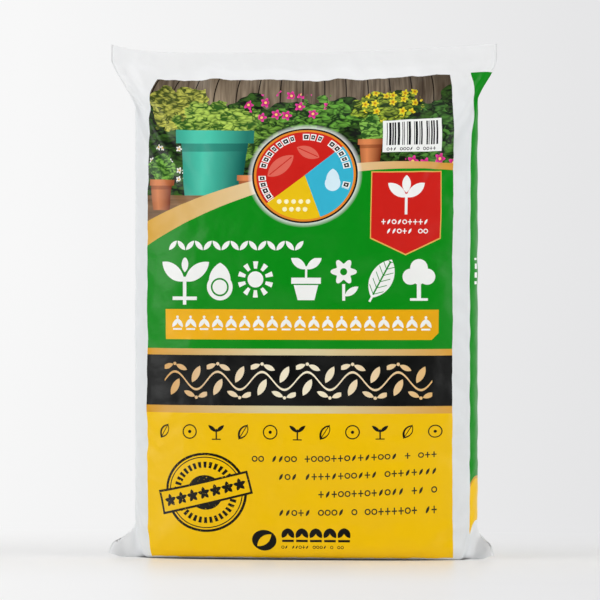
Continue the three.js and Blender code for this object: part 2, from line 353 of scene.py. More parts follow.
# %% [markdown]
# ## The mesh
#
# The grid becomes quads, with a narrow strip that closes the film's two end edges, so the bag is one closed
# shell. It gets two maps. `film` is the real film laid flat, in metres, and every mark of the print is
# placed in it. `OFBake` is the same film laid out again inside the unit square, the printed front large and
# the back at half its scale beside it, for anyone who wants to bake the bag to an image.

# %% Patches between the rows
quarter = COLUMNS // 4
rows = len(row_t)
level, column = np.meshgrid(np.arange(rows - 1), np.arange(COLUMNS), indexing="ij")
corner_row = np.stack([level, level, level + 1, level + 1], axis=-1).reshape(-1, 4)
corner_column = np.stack([column, column + 1, column + 1, column], axis=-1).reshape(-1, 4)
sides = corner_row * COLUMNS + corner_column % COLUMNS


def end_faces(row, up):
    """Patches that close the film's end edge, between the front film and the back film."""
    front = np.arange(quarter, 3 * quarter)
    back = (2 * quarter - front) % COLUMNS
    next_back = (back - 1) % COLUMNS
    corners = [front, front + 1, next_back, back] if up else [front, back, next_back, front + 1]
    return np.stack(corners, axis=-1) + row * COLUMNS


ends = np.concatenate([end_faces(0, False), end_faces(rows - 1, True)])
faces = [tuple(dict.fromkeys(face)) for face in np.concatenate([sides, ends]).tolist()]

mesh = bpy.data.meshes.new("film_bag")
mesh.from_pydata(points.reshape(-1, 3) * MM, [], faces)
mesh.update()
mesh.polygons.foreach_set("use_smooth", np.ones(len(mesh.polygons), bool))
bag = bpy.data.objects.new("film_bag", mesh)
bpy.context.scene.collection.objects.link(bag)
print(len(mesh.vertices), "points", len(mesh.polygons), "patches")

# %% Film map
loop_vertex = np.zeros(len(mesh.loops), np.int32)
mesh.loops.foreach_get("vertex_index", loop_vertex)
loop_row = loop_vertex // COLUMNS
loop_column = loop_vertex % COLUMNS
loop_column[:sides.size] = corner_column.ravel()
loop_s = np.append(film_s, FLAT_WIDTH)[loop_column]
loop_t = row_t[loop_row]

film_map = mesh.uv_layers.new(name="film")
film_map.data.foreach_set("uv", (np.stack([loop_s, loop_t], axis=-1) * MM).astype(np.float32).ravel())
print("film map up to", round(float(loop_t.max())), "mm")

# %% Bake map
BAKE_SCALE = 0.95 / 600  # of the unit square to a millimetre of the front
BACK_START = 0.65  # across the unit square
END_STRIPS, END_STEP = 0.955, 0.01  # up the unit square
loop_patch_column = np.repeat(np.append(column.ravel(), np.full(len(ends), quarter)),
                              [len(face) for face in faces])
loop_on_front = (loop_patch_column >= quarter) & (loop_patch_column < 3 * quarter)
bake_s = np.where(loop_on_front, loop_s + half_flat, (loop_s % (2 * FLAT_WIDTH) - half_flat) / 2)
bake_t = (loop_t - SEAL_BAND) / np.where(loop_on_front, 1, 2)
bake = np.stack([bake_s * BAKE_SCALE + np.where(loop_on_front, 0, BACK_START), bake_t * BAKE_SCALE],
                axis=-1)

# The two end strips lie above the rest, each with its front edge below its back edge.
end = np.arange(len(loop_s)) >= sides.size
end_front = (loop_column >= quarter) & (loop_column <= 3 * quarter)
end_back_s = (FLAT_WIDTH - loop_s) % (2 * FLAT_WIDTH) - FLAT_WIDTH
end_across = np.where(end_front, loop_s, end_back_s) + half_flat
end_up = END_STRIPS + END_STEP * (~end_front + 2 * (loop_row > 0))
bake[end] = np.stack([np.abs(end_across) * BAKE_SCALE, end_up], axis=-1)[end]
bake_map = mesh.uv_layers.new(name="OFBake")
bake_map.data.foreach_set("uv", np.clip(bake, 0, 1).astype(np.float32).ravel())
mesh.uv_layers.active = film_map
film_map.active_render = True
print("bake map from", bake.min(axis=0).round(3), "to", bake.max(axis=0).round(3))

# %% Sharp edges and finer patches
# The film's cut edges stay sharp, and so do its side creases where nothing fills them. Elsewhere it bends.
edge_ends = np.zeros(2 * len(mesh.edges), np.int32)
mesh.edges.foreach_get("vertices", edge_ends)
edge_rows, edge_columns = np.divmod(edge_ends.reshape(-1, 2), COLUMNS)
is_cut = (edge_rows == 0).all(axis=1) | (edge_rows == rows - 1).all(axis=1)
is_side = (edge_columns % (2 * quarter) == quarter).all(axis=1)
kept_sharp = np.where(is_cut, 1, row_wing[edge_rows].min(axis=1) * is_side)
mesh.attributes.new("sharp_edge", "BOOLEAN", "EDGE").data.foreach_set("value", is_cut)
mesh.attributes.new("crease_edge", "FLOAT", "EDGE").data.foreach_set("value", kept_sharp.astype(np.float32))

finer = bag.modifiers.new("finer", "SUBSURF")
finer.levels = finer.render_levels = 1
print(int(is_cut.sum()), "cut edges,", int((kept_sharp > 0).sum()), "creased ones")

# %% The bag's place in the frame
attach(bag, "root")
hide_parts("compost_bag")
print("the bag's film stands for the whole solid")

# %% [markdown]
# ## Drawing with nodes
#
# A print could be painted as a picture and mapped on the film. Here it is drawn by the shader itself, so it
# stays sharp at any distance and every size in it is a real one, in millimetres of film.
#
# The idea is that of screen printing. A shape is a mask, 1 inside and 0 outside, worked out from the film's
# coordinates. An ink is a colour laid over what is already there wherever its mask is 1. The helper `node`
# adds one node with its settings and links, and everything else here is a shape made of a few nodes. The
# coordinates come in as two plain numbers, `film_s` and `film_t`, since long chains of plain numbers are
# what a shader works through most easily.

# %% Where the print lies, and how the film draws it in
PRINT_LEFT, PRINT_RIGHT = -163, 158.3
PRINT_FOOT, PRINT_HEAD = 65.5, 562
DRAWN_FOOT = 500  # the pleats under the top weld draw the print's sides together above this height
DRAWN_LEFT, DRAWN_RIGHT = 12.5, 7.0
DRAWN_HEM = 32  # the lower left ear draws that side in, over this height above the print's foot
DRAWN_AT_HEM = 5
DRAWN_AT = 160  # the full draw is felt this far from the middle, and none beyond the next two
DRAW_ENDS = (164, 176)
EAR_PULL, EAR_PULL_FOOT = 5, 535
EAR_PINCH, PINCH_HEIGHT, PINCH_REACH = 4.5, 522, 24
PULL_STARTS, PULL_ENDS = (164, 172), (199, 190)  # round the side, where the ear's pull sets in and dies out
print(f"print {PRINT_RIGHT - PRINT_LEFT:.0f} mm wide, {PRINT_HEAD - PRINT_FOOT:.0f} mm high")

# %% Coordinates of the film, in millimetres, for the shader
near_weld = np.clip((loop_t - DRAWN_FOOT) / (PRINT_HEAD - DRAWN_FOOT), 0, 1.1)
near_foot = np.clip((PRINT_FOOT + DRAWN_HEM - loop_t) / DRAWN_HEM, 0, 1.2)
drawn_left = DRAWN_LEFT * near_weld**3 + DRAWN_AT_HEM * near_foot**1.3
drawn = np.where(loop_s < 0, drawn_left, DRAWN_RIGHT * near_weld)
drawn = drawn * np.clip(loop_s / DRAWN_AT, -1, 1)
print_s = loop_s + drawn * rise(DRAW_ENDS[1], DRAW_ENDS[0], np.abs(loop_s))

# The back's green comes round the right side. The right ear pulls it forward and pinches it just below.
ear_pull = EAR_PULL * rise(EAR_PULL_FOOT, PRINT_HEAD, loop_t)
ear_pull = ear_pull - EAR_PINCH * np.exp(-((loop_t - PINCH_HEIGHT) / PINCH_REACH) ** 2)
print_s = print_s + ear_pull * rise(*PULL_STARTS, loop_s) * rise(*PULL_ENDS, loop_s)

filled = rise(5, 40, row_depth)[:, None] * rise(half_body + 8, half_body - 2, np.abs(points[:, :, 0]))
filled = filled.ravel()[loop_vertex]  # 1 where potting mix lies behind the film
for name, values in (("film_s", print_s), ("film_t", loop_t), ("filled", filled)):
    mesh.attributes.new(name, "FLOAT", "CORNER").data.foreach_set("value", values.astype(np.float32))
print("print drawn in by up to", round(float(np.abs(print_s - loop_s).max()), 1), "mm")


# %% Colours
def linear(hex_colour):
    """An sRGB hex colour as linear red, green, blue and alpha."""
    value = np.array([int(hex_colour[i:i + 2], 16) for i in (1, 3, 5)]) / 255
    value = np.where(value <= 0.04045, value / 12.92, ((value + 0.055) / 1.055) ** 2.4)
    return (*value.tolist(), 1.0)


print(f"half of the sRGB scale is {linear('#808080')[0]:.2f} in linear light")


# %% Nodes
def node(kind, sockets, out=0, **settings):
    """Adds a shader node with its settings. Each input gets a value, or the socket that it is joined to.
    Gives back one output, or several when out is a tuple."""
    made = tree.nodes.new("ShaderNode" + kind)
    for name, value in settings.items():
        setattr(made, name, value)
    for key, value in sockets.items():
        if isinstance(value, bpy.types.NodeSocket):
            tree.links.new(value, made.inputs[key])
        else:
            made.inputs[key].default_value = value
    return tuple(made.outputs[name] for name in out) if isinstance(out, tuple) else made.outputs[out]


# A Mix node with these settings mixes colours. Input 0 says how far it is from colour 6 to colour 7.
COLOUR = {"out": 2, "data_type": "RGBA"}


def noise(length, detail=2.0, stretch=(1, 1), shift=0):
    """Smooth noise from 0 to 1 whose features are about this many millimetres long."""
    place = node("Mapping", {"Vector": node("UVMap", {}, uv_map="film"), "Location": (shift, shift, 0),
                             "Scale": (1 / (length * stretch[0] * MM), 1 / (length * stretch[1] * MM), 1)})
    return node("TexNoise", {"Vector": place, "Scale": 1.0, "Detail": detail}, noise_dimensions="2D")


# %% The film's finish
# Low-density polyethylene film, blown, filled with white pigment and printed by flexography: a soft satin
# gloss with a fine crinkle, over the lumps of what it holds, and inks that lie thin and even.
FILM_ROUGHNESS = 0.33
FILM_IOR = 1.51
FILM_SPECULAR = 0.18  # the inks lie as a thin matt coat
CRINKLE = 7  # length of a fine crease
CRINKLE_SHARE = 0.35  # of the relief, beside the lumps
GRAIN = 13  # length of the lumps that show through
RELIEF = 0.5 * MM  # height of both

PAPER_WHITE = linear("#f4f5f3")
EMPTY_WHITE = linear("#f0f1f2")  # two layers of film with nothing between them
FILLED_WHITE = linear("#e2e5e7")  # a little greyer, since the dark filling shows through
print("fine creases of", CRINKLE, "mm over lumps of", GRAIN, "mm")


# %% Material for a stretch of print
def film_material(name):
    """A material with the film's finish, for the next stretch of print. Its node tree, the film's
    coordinates, the bare film and the print so far are shared by all the drawing functions, so they are
    global."""
    global tree, film_x, film_y, bare_film, paint
    material = bpy.data.materials.new(name)
    material.use_nodes = True
    bag.data.materials.append(material)
    tree = material.node_tree
    shader = tree.nodes["Principled BSDF"]
    shader.inputs["Roughness"].default_value = FILM_ROUGHNESS
    shader.inputs["IOR"].default_value = FILM_IOR
    shader.inputs["Specular IOR Level"].default_value = FILM_SPECULAR
    creased = noise(CRINKLE, detail=4.0, stretch=(1.6, 1))
    lumpy = noise(GRAIN, detail=1.0, shift=9)
    height = node("Math", {0: creased, 1: CRINKLE_SHARE, 2: lumpy}, operation="MULTIPLY_ADD")
    bump = node("Bump", {"Height": height, "Strength": 1.0, "Distance": RELIEF})
    tree.links.new(bump, shader.inputs["Normal"])
    film_x = node("Attribute", {}, out="Fac", attribute_name="film_s")
    film_y = node("Attribute", {}, out="Fac", attribute_name="film_t")
    is_filled = node("Attribute", {}, out="Fac", attribute_name="filled")
    bare_film = node("Mix", {0: is_filled, 6: EMPTY_WHITE, 7: FILLED_WHITE}, **COLOUR)
    paint = bare_film
    return shader


def ink(mask, colour):
    """Lays one ink over the print, where the mask is 1."""
    global paint
    paint = node("Mix", {0: mask, 6: paint, 7: colour}, **COLOUR)


# %% Places and distances
def local(centre, half, turn=0, on=None):
    """The distances from a centre along two axes turned by some degrees, counted in half sizes."""
    x, y = on or (film_x, film_y)
    cos, sin = math.cos(math.radians(turn)), math.sin(math.radians(turn))
    along = node("Math", {0: x, 1: cos / half[0], 2: -(centre[0] * cos + centre[1] * sin) / half[0]},
                 operation="MULTIPLY_ADD")
    across = node("Math", {0: y, 1: cos / half[1], 2: (centre[0] * sin - centre[1] * cos) / half[1]},
                  operation="MULTIPLY_ADD")
    if turn:
        along = node("Math", {0: y, 1: sin / half[0], 2: along}, operation="MULTIPLY_ADD")
        across = node("Math", {0: x, 1: -sin / half[1], 2: across}, operation="MULTIPLY_ADD")
    return along, across


def reach(place):
    """Distance from a place's centre: the root of the sum of both squares."""
    x, y = place
    square = node("Math", {0: x, 1: x}, operation="MULTIPLY")
    squares = node("Math", {0: y, 1: y, 2: square}, operation="MULTIPLY_ADD")
    return node("Math", {0: squares}, operation="SQRT")


def polar(centre, half, on=None):
    """Distance from a centre in half sizes, and the turn round it, 0 to 1, anticlockwise from the right."""
    x, y = local(centre, half, 0, on)
    angle = node("Math", {0: y, 1: x}, operation="ARCTAN2")
    turns = node("Math", {0: angle, 1: 2 * math.pi}, operation="DIVIDE")
    return reach((x, y)), node("Math", {0: turns}, operation="FRACT")


def beats(turn, count):
    """How far a turn has come through its part, from 0 to 1, when the circle is cut into equal parts."""
    parts = node("Math", {0: turn, 1: count}, operation="MULTIPLY")
    return node("Math", {0: parts}, operation="FRACT")


def off_line(x):
    """Distance across the film from an upright line."""
    offset = node("Math", {0: film_x, 1: x}, operation="SUBTRACT")
    return node("Math", {0: offset}, operation="ABSOLUTE")


# %% Masks from one number
def under(value, limit):
    """1 where a value is under a limit."""
    return node("Math", {0: value, 1: limit}, operation="LESS_THAN")


def over(value, limit):
    """1 where a value is over a limit."""
    return node("Math", {0: value, 1: limit}, operation="GREATER_THAN")


def between(value, start, end):
    """1 where a value lies between two limits."""
    return node("Math", {0: value, 1: (start + end) / 2, 2: abs(end - start) / 2}, operation="COMPARE")


# %% Shapes
def disc(centre, radius, on=None):
    """1 inside a circle, or an ellipse when the radius is a pair."""
    half = radius if isinstance(radius, tuple) else (radius, radius)
    return under(reach(local(centre, half, 0, on)), 1)


def ring(centre, radius, width, on=None):
    """1 on a line of some width along a circle."""
    far = reach(local(centre, (radius, radius), 0, on))
    return node("Math", {0: far, 1: 1, 2: width / radius / 2}, operation="COMPARE")


def box(centre, half, turn=0, on=None):
    """1 where both distances from the centre are under the half sizes."""
    x, y = local(centre, half, turn, on)
    return node("Math", {0: between(x, -1, 1), 1: between(y, -1, 1)}, operation="MULTIPLY")


def leaf(centre, half, turn=0, on=None):
    """1 inside a pointed leaf: the overlap of two circles that meet at its tips, one for each side."""
    length, width = half
    offset = (length**2 - width**2) / (2 * width)  # of each circle's centre, beyond the midrib
    x, y = local(centre, (1, 1), turn, on)
    off_rib = node("Math", {0: y}, operation="ABSOLUTE")
    below = node("Math", {0: off_rib, 1: offset}, operation="ADD")
    return under(reach((x, below)), offset + width)


# %% Shapes put together
def union(*masks):
    """1 where any of the masks is 1."""
    whole = masks[0]
    for mask in masks[1:]:
        whole = node("Math", {0: whole, 1: mask}, operation="MAXIMUM")
    return whole


def overlap(*masks):
    """1 where all of the masks are 1."""
    whole = masks[0]
    for mask in masks[1:]:
        whole = node("Math", {0: whole, 1: mask}, operation="MULTIPLY")
    return whole


def cut(mask, hole):
    """A mask without what another one covers."""
    return node("Math", {0: mask, 1: hole}, operation="SUBTRACT", use_clamp=True)


# %% [markdown]
# ## Rows of small marks
#
# Much of a print is small marks in a row. A row is cut into equal places, and the film's coordinates are
# wrapped round so that they start again in each. A shape drawn once in the wrapped coordinates then appears
# in every place, and the number of the place picks its colour, its turn, or whether it is there at all.

# %% Rows
def cells(value, pitch, start=0.0):
    """The number of the cell that a value lies in, and its distance from the middle of that cell."""
    from_start = node("Math", {0: value, 1: start}, operation="SUBTRACT")
    pitches = node("Math", {0: from_start, 1: pitch}, operation="DIVIDE")
    number = node("Math", {0: pitches}, operation="FLOOR")
    offset = node("Math", {0: number, 1: -pitch, 2: from_start}, operation="MULTIPLY_ADD")
    return number, node("Math", {0: offset, 1: pitch / 2}, operation="SUBTRACT")


def row_places(start, end, height, count):
    """Millimetres from the middle of the nearest place in a row, that place's number, and 1 on the row."""
    number, x = cells(film_x, (end - start) / count, start)
    y = node("Math", {0: film_y, 1: height}, operation="SUBTRACT")
    return (x, y), number, between(film_x, start, end)


def random_of(number, seed=0.0, out="Value"):
    """A random number from 0 to 1 for each whole number, or a random colour."""
    shifted = node("Math", {0: number, 1: seed + 0.5}, operation="ADD")
    return node("TexWhiteNoise", {"W": shifted}, out=out, noise_dimensions="1D")


# %% Small print
LINE_STEP = 517.0  # between the tags of two lines, so that no two cells share one


def small_type(starts, right, top, line_pitch, letter=5.6, seed=0.0):
    """Lines of small marks that pass for small print from a few steps away: in each cell a ring, a cross, a
    slanted leaf or a gap. They end together on the right, and there is one start for each line from the
    top. Every line starts and ends between two cells, so no mark is cut."""
    first = min(starts)
    foot = top - len(starts) * line_pitch
    line, y = cells(film_y, line_pitch, foot)
    cell, x = cells(film_x, letter, first)
    tag = node("Math", {0: line, 1: LINE_STEP, 2: cell}, operation="MULTIPLY_ADD")
    kind = random_of(tag, seed)
    stroke = 0.19 * letter
    ring_mark = ring((0, 0), 0.36 * letter, stroke, on=(x, y))
    cross = union(box((0, 0), (0.4 * letter, stroke / 2), on=(x, y)),
                  box((0, 0), (stroke / 2, 0.5 * letter), on=(x, y)))
    leaf_mark = leaf((0, 0), (0.56 * letter, 0.2 * letter), 62, on=(x, y))
    mark = union(overlap(between(kind, 0.0, 0.27), ring_mark), overlap(between(kind, 0.27, 0.57), cross),
                 overlap(between(kind, 0.57, 0.88), leaf_mark))
    skipped = 0.0
    for number, begin in enumerate(reversed(starts)):
        on_line = between(line, number - 0.5, number + 0.5)
        skipped = node("Math", {0: on_line, 1: round((begin - first) / letter), 2: skipped},
                       operation="MULTIPLY_ADD")
    started = cut(1.0, under(cell, skipped))
    ended = first + (right - first) // letter * letter
    return overlap(mark, started, between(film_x, first, ended), between(film_y, foot, top))


# %% [markdown]
# ## The fields of the front
#
# The front is fields of flat ink. Their edges were measured on the film: a golden sweep divides the picture
# at the top from a green field, a black band between two gold lines crosses the middle, and yellow fills
# the foot. The sweep's two edges are curves of the second degree across the bag.
#
# One shader could hold the whole print, but it would be so long that the renderer runs out of room for it.
# So the print has one material for each of its stretches, as a large poster has several sheets, and every
# sheet starts with the same fields, so that the joins can't be seen.

# %% Heights and colours of the fields
GREEN_FOOT = 280.5
BLACK_HEAD, BLACK_FOOT = 273.9, 222.4
YELLOW_HEAD = 214.8
SWEEP_HEAD = (463, 0.177, -0.00089)  # height in the middle, slope and bend
SWEEP_FOOT = (451.6, 0.2335, -0.00106)

GREEN = linear("#048b14")
YELLOW_INK = linear("#f4c404")
BLACK_INK = linear("#080908")
RED = linear("#cf211a")
BAND_GOLD = ("#d89a1c", "#dccfa2", "#dca444")  # from left to right
print(f"black band {BLACK_HEAD - BLACK_FOOT:.0f} mm high")


# %% Fields of colour
def above(curve):
    """1 above a curve across the bag, whose height is its middle, plus its slope times the distance, plus
    its bend times the square of the distance."""
    middle, slope, bend = curve
    steep = node("Math", {0: film_x, 1: bend, 2: slope}, operation="MULTIPLY_ADD")
    height = node("Math", {0: steep, 1: film_x, 2: middle}, operation="MULTIPLY_ADD")
    return over(film_y, height)


def gold_across(dark, pale, deep):
    """Gold that is dark at the left, pale in the middle and deep at the right."""
    to_pale = node("MapRange", {"Value": film_x, "From Min": -160, "From Max": -30})
    left = node("Mix", {0: to_pale, 6: linear(dark), 7: linear(pale)}, **COLOUR)
    to_deep = node("MapRange", {"Value": film_x, "From Min": 20, "From Max": 155})
    return node("Mix", {0: to_deep, 6: left, 7: linear(deep)}, **COLOUR)


def fields():
    """The yellow, black, gold and green fields, from the foot up."""
    ink(1.0, YELLOW_INK)
    ink(between(film_y, YELLOW_HEAD, GREEN_FOOT), gold_across(*BAND_GOLD))
    ink(between(film_y, BLACK_FOOT, BLACK_HEAD), BLACK_INK)
    ink(over(film_y, GREEN_FOOT), GREEN)


# %% Edges of the print
WAVER_LENGTH = 16
WAVER_UP, WAVER_ACROSS = 3.2, 1.2  # how far the edges waver


def print_on_film(shader, inside):
    """Gives the shader the print where it is inside its edges, and the bare film elsewhere."""
    colour = node("Mix", {0: inside, 6: bare_film, 7: paint}, **COLOUR)
    tree.links.new(colour, shader.inputs["Base Color"])
    print(len(tree.nodes), "nodes")


def finish_front(shader):
    """Gives the shader the print, inside edges that waver a little."""
    waver = node("Math", {0: noise(WAVER_LENGTH, detail=3.0, shift=2), 1: 0.5}, operation="SUBTRACT")
    up = node("Math", {0: waver, 1: WAVER_UP, 2: film_y}, operation="MULTIPLY_ADD")
    across = node("Math", {0: waver, 1: WAVER_ACROSS, 2: film_x}, operation="MULTIPLY_ADD")
    print_on_film(shader, overlap(between(up, PRINT_FOOT, PRINT_HEAD),
                                  between(across, PRINT_LEFT, PRINT_RIGHT)))


# %% [markdown]
# ## The garden picture
#
# The top of the print is a garden in front of weathered boards. It is built from far to near, as a painter
# would: boards, a dark hedge, lighter leaves, blossoms, then the planter and the clay pots that stand in
# front. Leaves are the cells of a stretched Voronoi pattern, each cell in its own shade and darker towards
# its edge. A blossom stands in some of the squares of a grid, pushed off the square's middle by a random
# amount.

# %% Leaves
def ragged_disc(centre, radius, seed):
    """1 inside an ellipse whose edge is broken up by noise."""
    rough = node("Math", {0: noise(15, shift=seed), 1: 1.1, 2: 0.45}, operation="MULTIPLY_ADD")
    return under(reach(local(centre, radius)), rough)


def leaves(area, length, turn, dark, light, seed):
    """Leaves inside an area: cells half as wide as long, bent by noise, darker towards their edges."""
    place = node("Mapping", {"Vector": node("UVMap", {}, uv_map="film"), "Location": (seed, seed, 0),
                             "Rotation": (0, 0, math.radians(turn)),
                             "Scale": (1 / (length * MM), 2 / (length * MM), 1)})
    bent = node("TexNoise", {"Vector": place, "Scale": 0.45, "Detail": 1.0}, out="Color",
                noise_dimensions="2D")
    place = node("VectorMath", {0: bent, 1: (2.4, 2.4, 0), 2: place}, operation="MULTIPLY_ADD")
    far, colour = node("TexVoronoi", {"Vector": place, "Scale": 1.0}, out=(0, 1), voronoi_dimensions="2D")
    tone = node("SeparateColor", {0: colour})
    lit = node("Math", {0: far, 1: -1.15, 2: tone}, operation="MULTIPLY_ADD")
    lit = node("MapRange", {"Value": lit, "From Min": -0.35, "From Max": 0.6})
    ink(area, node("Mix", {0: lit, 6: linear(dark), 7: linear(light)}, **COLOUR))


# %% Blossoms
BED_STEP = 211.0  # between the tags of two rows of squares


def petal_edge(turn, count, radius, swing):
    """The radius of a flower's edge, which swings out and in once for each petal."""
    angle = node("Math", {0: turn, 1: 2 * math.pi * count}, operation="MULTIPLY")
    wave = node("Math", {0: angle}, operation="COSINE")
    return node("Math", {0: wave, 1: swing, 2: radius}, operation="MULTIPLY_ADD")


def blossoms(area, pitch, petal, heart, share, seed):
    """Blossoms inside an area: in some squares of a grid, five petals round a heart."""
    column, x = cells(film_x, pitch, 0.37 * pitch * seed)
    row, y = cells(film_y, pitch, 0.61 * pitch * seed)
    tag = node("Math", {0: row, 1: BED_STEP, 2: column}, operation="MULTIPLY_ADD")
    push_x, push_y, there = node("SeparateColor", {0: random_of(tag, seed, out="Color")}, out=(0, 1, 2))
    pushed = []
    for offset, push in ((x, push_x), (y, push_y)):
        back = node("Math", {0: offset, 1: 0.25 * pitch}, operation="SUBTRACT")
        pushed.append(node("Math", {0: push, 1: 0.5 * pitch, 2: back}, operation="MULTIPLY_ADD"))
    far, turn = polar((0, 0), (pitch, pitch), on=pushed)
    edge = petal_edge(turn, 5, radius=0.34, swing=0.09)
    there = under(there, share)
    dark, light = petal
    lit = node("MapRange", {"Value": far, "From Min": 0.05, "From Max": 0.4})
    shaded = node("Mix", {0: lit, 6: linear(dark), 7: linear(light)}, **COLOUR)
    flower = node("Mix", {0: under(far, 0.11), 6: shaded, 7: linear(heart)}, **COLOUR)
    ink(overlap(area, there, under(far, edge)), flower)


# %% Pots
def pot(middle, half, taper, dark, light):
    """A round pot: a body that narrows by the taper from its rim down, a rim a fifth of its height, and
    light that falls on it a third of the way across."""
    x, y = local(middle, half)
    narrow = node("MapRange", {"Value": y, "From Min": -1, "From Max": 1, "To Min": 1 - taper, "To Max": 1})
    across = node("Math", {0: x, 1: narrow}, operation="DIVIDE")
    from_light = node("Math", {0: across, 1: 0.35}, operation="ADD")
    off_light = node("Math", {0: from_light}, operation="ABSOLUTE")
    lit = node("MapRange", {"Value": off_light, "From Min": 0.0, "From Max": 1.3, "To Min": 1, "To Max": 0})
    rim_shadow = overlap(between(y, 0.4, 0.66), 0.5)
    body = node("Mix", {0: lit, 6: linear(dark), 7: linear(light)}, **COLOUR)
    body = node("Mix", {0: rim_shadow, 6: body, 7: linear(dark)}, **COLOUR)
    ink(overlap(between(across, -1, 1), between(y, -1, 1)), body)
    rim = overlap(between(x, -1.12, 1.12), between(y, 0.66, 1.08))
    rim_lit = node("Math", {0: lit, 1: 0.18}, operation="ADD")
    ink(rim, node("Mix", {0: rim_lit, 6: linear(dark), 7: linear(light)}, **COLOUR))


# %% What stands in the garden, with its places
BOARD_WIDTH = 23  # of a fence board, as printed
HEDGE_HEAD, HEDGE_WAVE = 501, 62
TABLE_TOP, TABLE_RIGHT = 437, -40
SHRUBS = [
    # middle, half sizes, leaf length, turn, dark and light
    ((-130, 528), (34, 26), 5.5, -30, "#46561a", "#d3d45c"),
    ((-62, 500), (40, 28), 5.5, 40, "#1c3a12", "#7cab42"),
    ((20, 520), (42, 20), 6, 10, "#153010", "#6fb040"),
    ((88, 528), (32, 20), 5.5, -50, "#20380f", "#a9bf3c"),
    ((140, 486), (36, 40), 6.5, 65, "#10240e", "#56903c"),
]
PINK = ("#a8125e", "#f23fa6")
YELLOW = ("#d6a80c", "#faec38")
CREAM = ("#c9c3a8", "#ffffff")
FLOWER_BEDS = [
    # middle, half sizes, pitch, petals, heart, share of the squares that hold one
    ((-14, 530), (42, 17), 13, PINK, "#ffd27a", 0.6),
    ((136, 470), (30, 26), 14, PINK, "#ffd27a", 0.6),
    ((96, 532), (30, 18), 10, YELLOW, "#c07f10", 0.85),
    ((-136, 470), (30, 18), 8.0, CREAM, "#e8b020", 0.6),
]
TEAL = ("#0b5a52", "#4cc9ae")
CLAY = ("#7a3316", "#e08a55")
print(len(SHRUBS), "shrubs and", len(FLOWER_BEDS), "flower beds")


# %% The picture, from far to near
def boards():
    """Upright boards in different shades, with dark gaps between them, darker towards the right."""
    board, board_x = cells(film_x, BOARD_WIDTH)
    wood = node("MapRange", {"Value": noise(4, detail=4.0, stretch=(1, 14)), "From Min": 0.3,
                             "From Max": 0.75})
    ink(1.0, node("Mix", {0: wood, 6: linear("#5d4d3e"), 7: linear("#aa9880")}, **COLOUR))
    ink(node("Math", {0: random_of(board), 1: 0.3}, operation="MULTIPLY"), linear("#33261b"))
    ink(cut(1.0, between(board_x, -0.47 * BOARD_WIDTH, 0.47 * BOARD_WIDTH)), linear("#1d140d"))
    shade = node("MapRange", {"Value": film_x, "From Min": -80, "From Max": 150, "To Max": 0.3})
    ink(shade, linear("#221913"))


def garden():
    """Boards, hedge, shrubs, flowers, a table at the left, a planter and pots, darker at the corners."""
    boards()
    hedge_top = node("Math", {0: noise(40, shift=3), 1: HEDGE_WAVE, 2: HEDGE_HEAD},
                     operation="MULTIPLY_ADD")
    leaves(under(film_y, hedge_top), 7, 25, "#0a1209", "#3a6222", 7)
    for number, (middle, half, length, turn, dark, light) in enumerate(SHRUBS):
        leaves(ragged_disc(middle, half, 11 + 5 * number), length, turn, dark, light, 3.3 * number)
    for number, (middle, half, pitch, petal, heart, share) in enumerate(FLOWER_BEDS):
        blossoms(ragged_disc(middle, half, 31 + 3 * number), pitch, petal, heart, share, number + 1.0)

    table = overlap(under(film_y, TABLE_TOP), under(film_x, TABLE_RIGHT))
    grain = noise(5, stretch=(14, 1))
    ink(table, node("Mix", {0: grain, 6: linear("#4a321f"), 7: linear("#a67e55")}, **COLOUR))
    leaves(ragged_disc((-90, 517), (42, 18), 71), 5.5, 75, "#2d5a18", "#b9d65c", 21)
    pot((-90, 470), (37, 33), 0.2, *TEAL)
    leaves(ragged_disc((-145, 463), (15, 16), 77), 4.5, 10, "#24501a", "#7fb84a", 25)
    pot((-146, 437), (13, 15), 0.25, *CLAY)
    pot((-51, 443), (12, 14), 0.25, *CLAY)
    leaves(ragged_disc((72, 505), (13, 15), 79), 4.5, -20, "#24501a", "#8cc152", 27)
    pot((72, 480), (12, 14), 0.25, *CLAY)

    corner = node("MapRange", {"Value": reach(local((0, 470), (175, 100))), "From Min": 0.8,
                               "From Max": 1.4, "To Min": 0.0, "To Max": 0.55})
    ink(corner, linear("#15100c"))


# %% [markdown]
# ## The badge, the label and the pennant
#
# A round badge says in three colours what the mix is made of: leaves for plant matter, a drop for water and
# grains for minerals. Beside it are a white label with a bar pattern and a red pennant with a sprout.

# %% Small motifs
def drop(x, y, size):
    """1 inside a drop: a circle with a point over it."""
    return union(disc((x, y), size), leaf((x, y + 0.5 * size), (1.35 * size, 0.84 * size), 90))


def sprout(x, y, size, on=None):
    """1 inside a sprout: a stem and two leaves."""
    return union(leaf((x - 0.5 * size, y + 0.45 * size), (0.62 * size, 0.27 * size), 142, on=on),
                 leaf((x + 0.5 * size, y + 0.45 * size), (0.62 * size, 0.27 * size), 38, on=on),
                 box((x, y - 0.3 * size), (0.07 * size, 0.55 * size), on=on))


# %% Sizes of the badge
BADGE = (5.3, 458.3)
BADGE_HALF = (54.2, 49.6)
BADGE_MARKS = 38  # places for a mark in the ring
YELLOW_FROM, BLUE_FROM, BLUE_TO = 0.61, 0.805, 0.113  # shares of a turn, and the red fills the rest
BADGE_MARK = [
    # width, inner and outer radius, and colour of the three layers of a mark
    (1.25, 0.74, 0.88, PAPER_WHITE),
    (0.85, 0.765, 0.855, linear("#171312")),
    (0.3, 0.795, 0.825, PAPER_WHITE),
]
print(f"badge {2 * BADGE_HALF[0]:.0f} x {2 * BADGE_HALF[1]:.0f} mm")


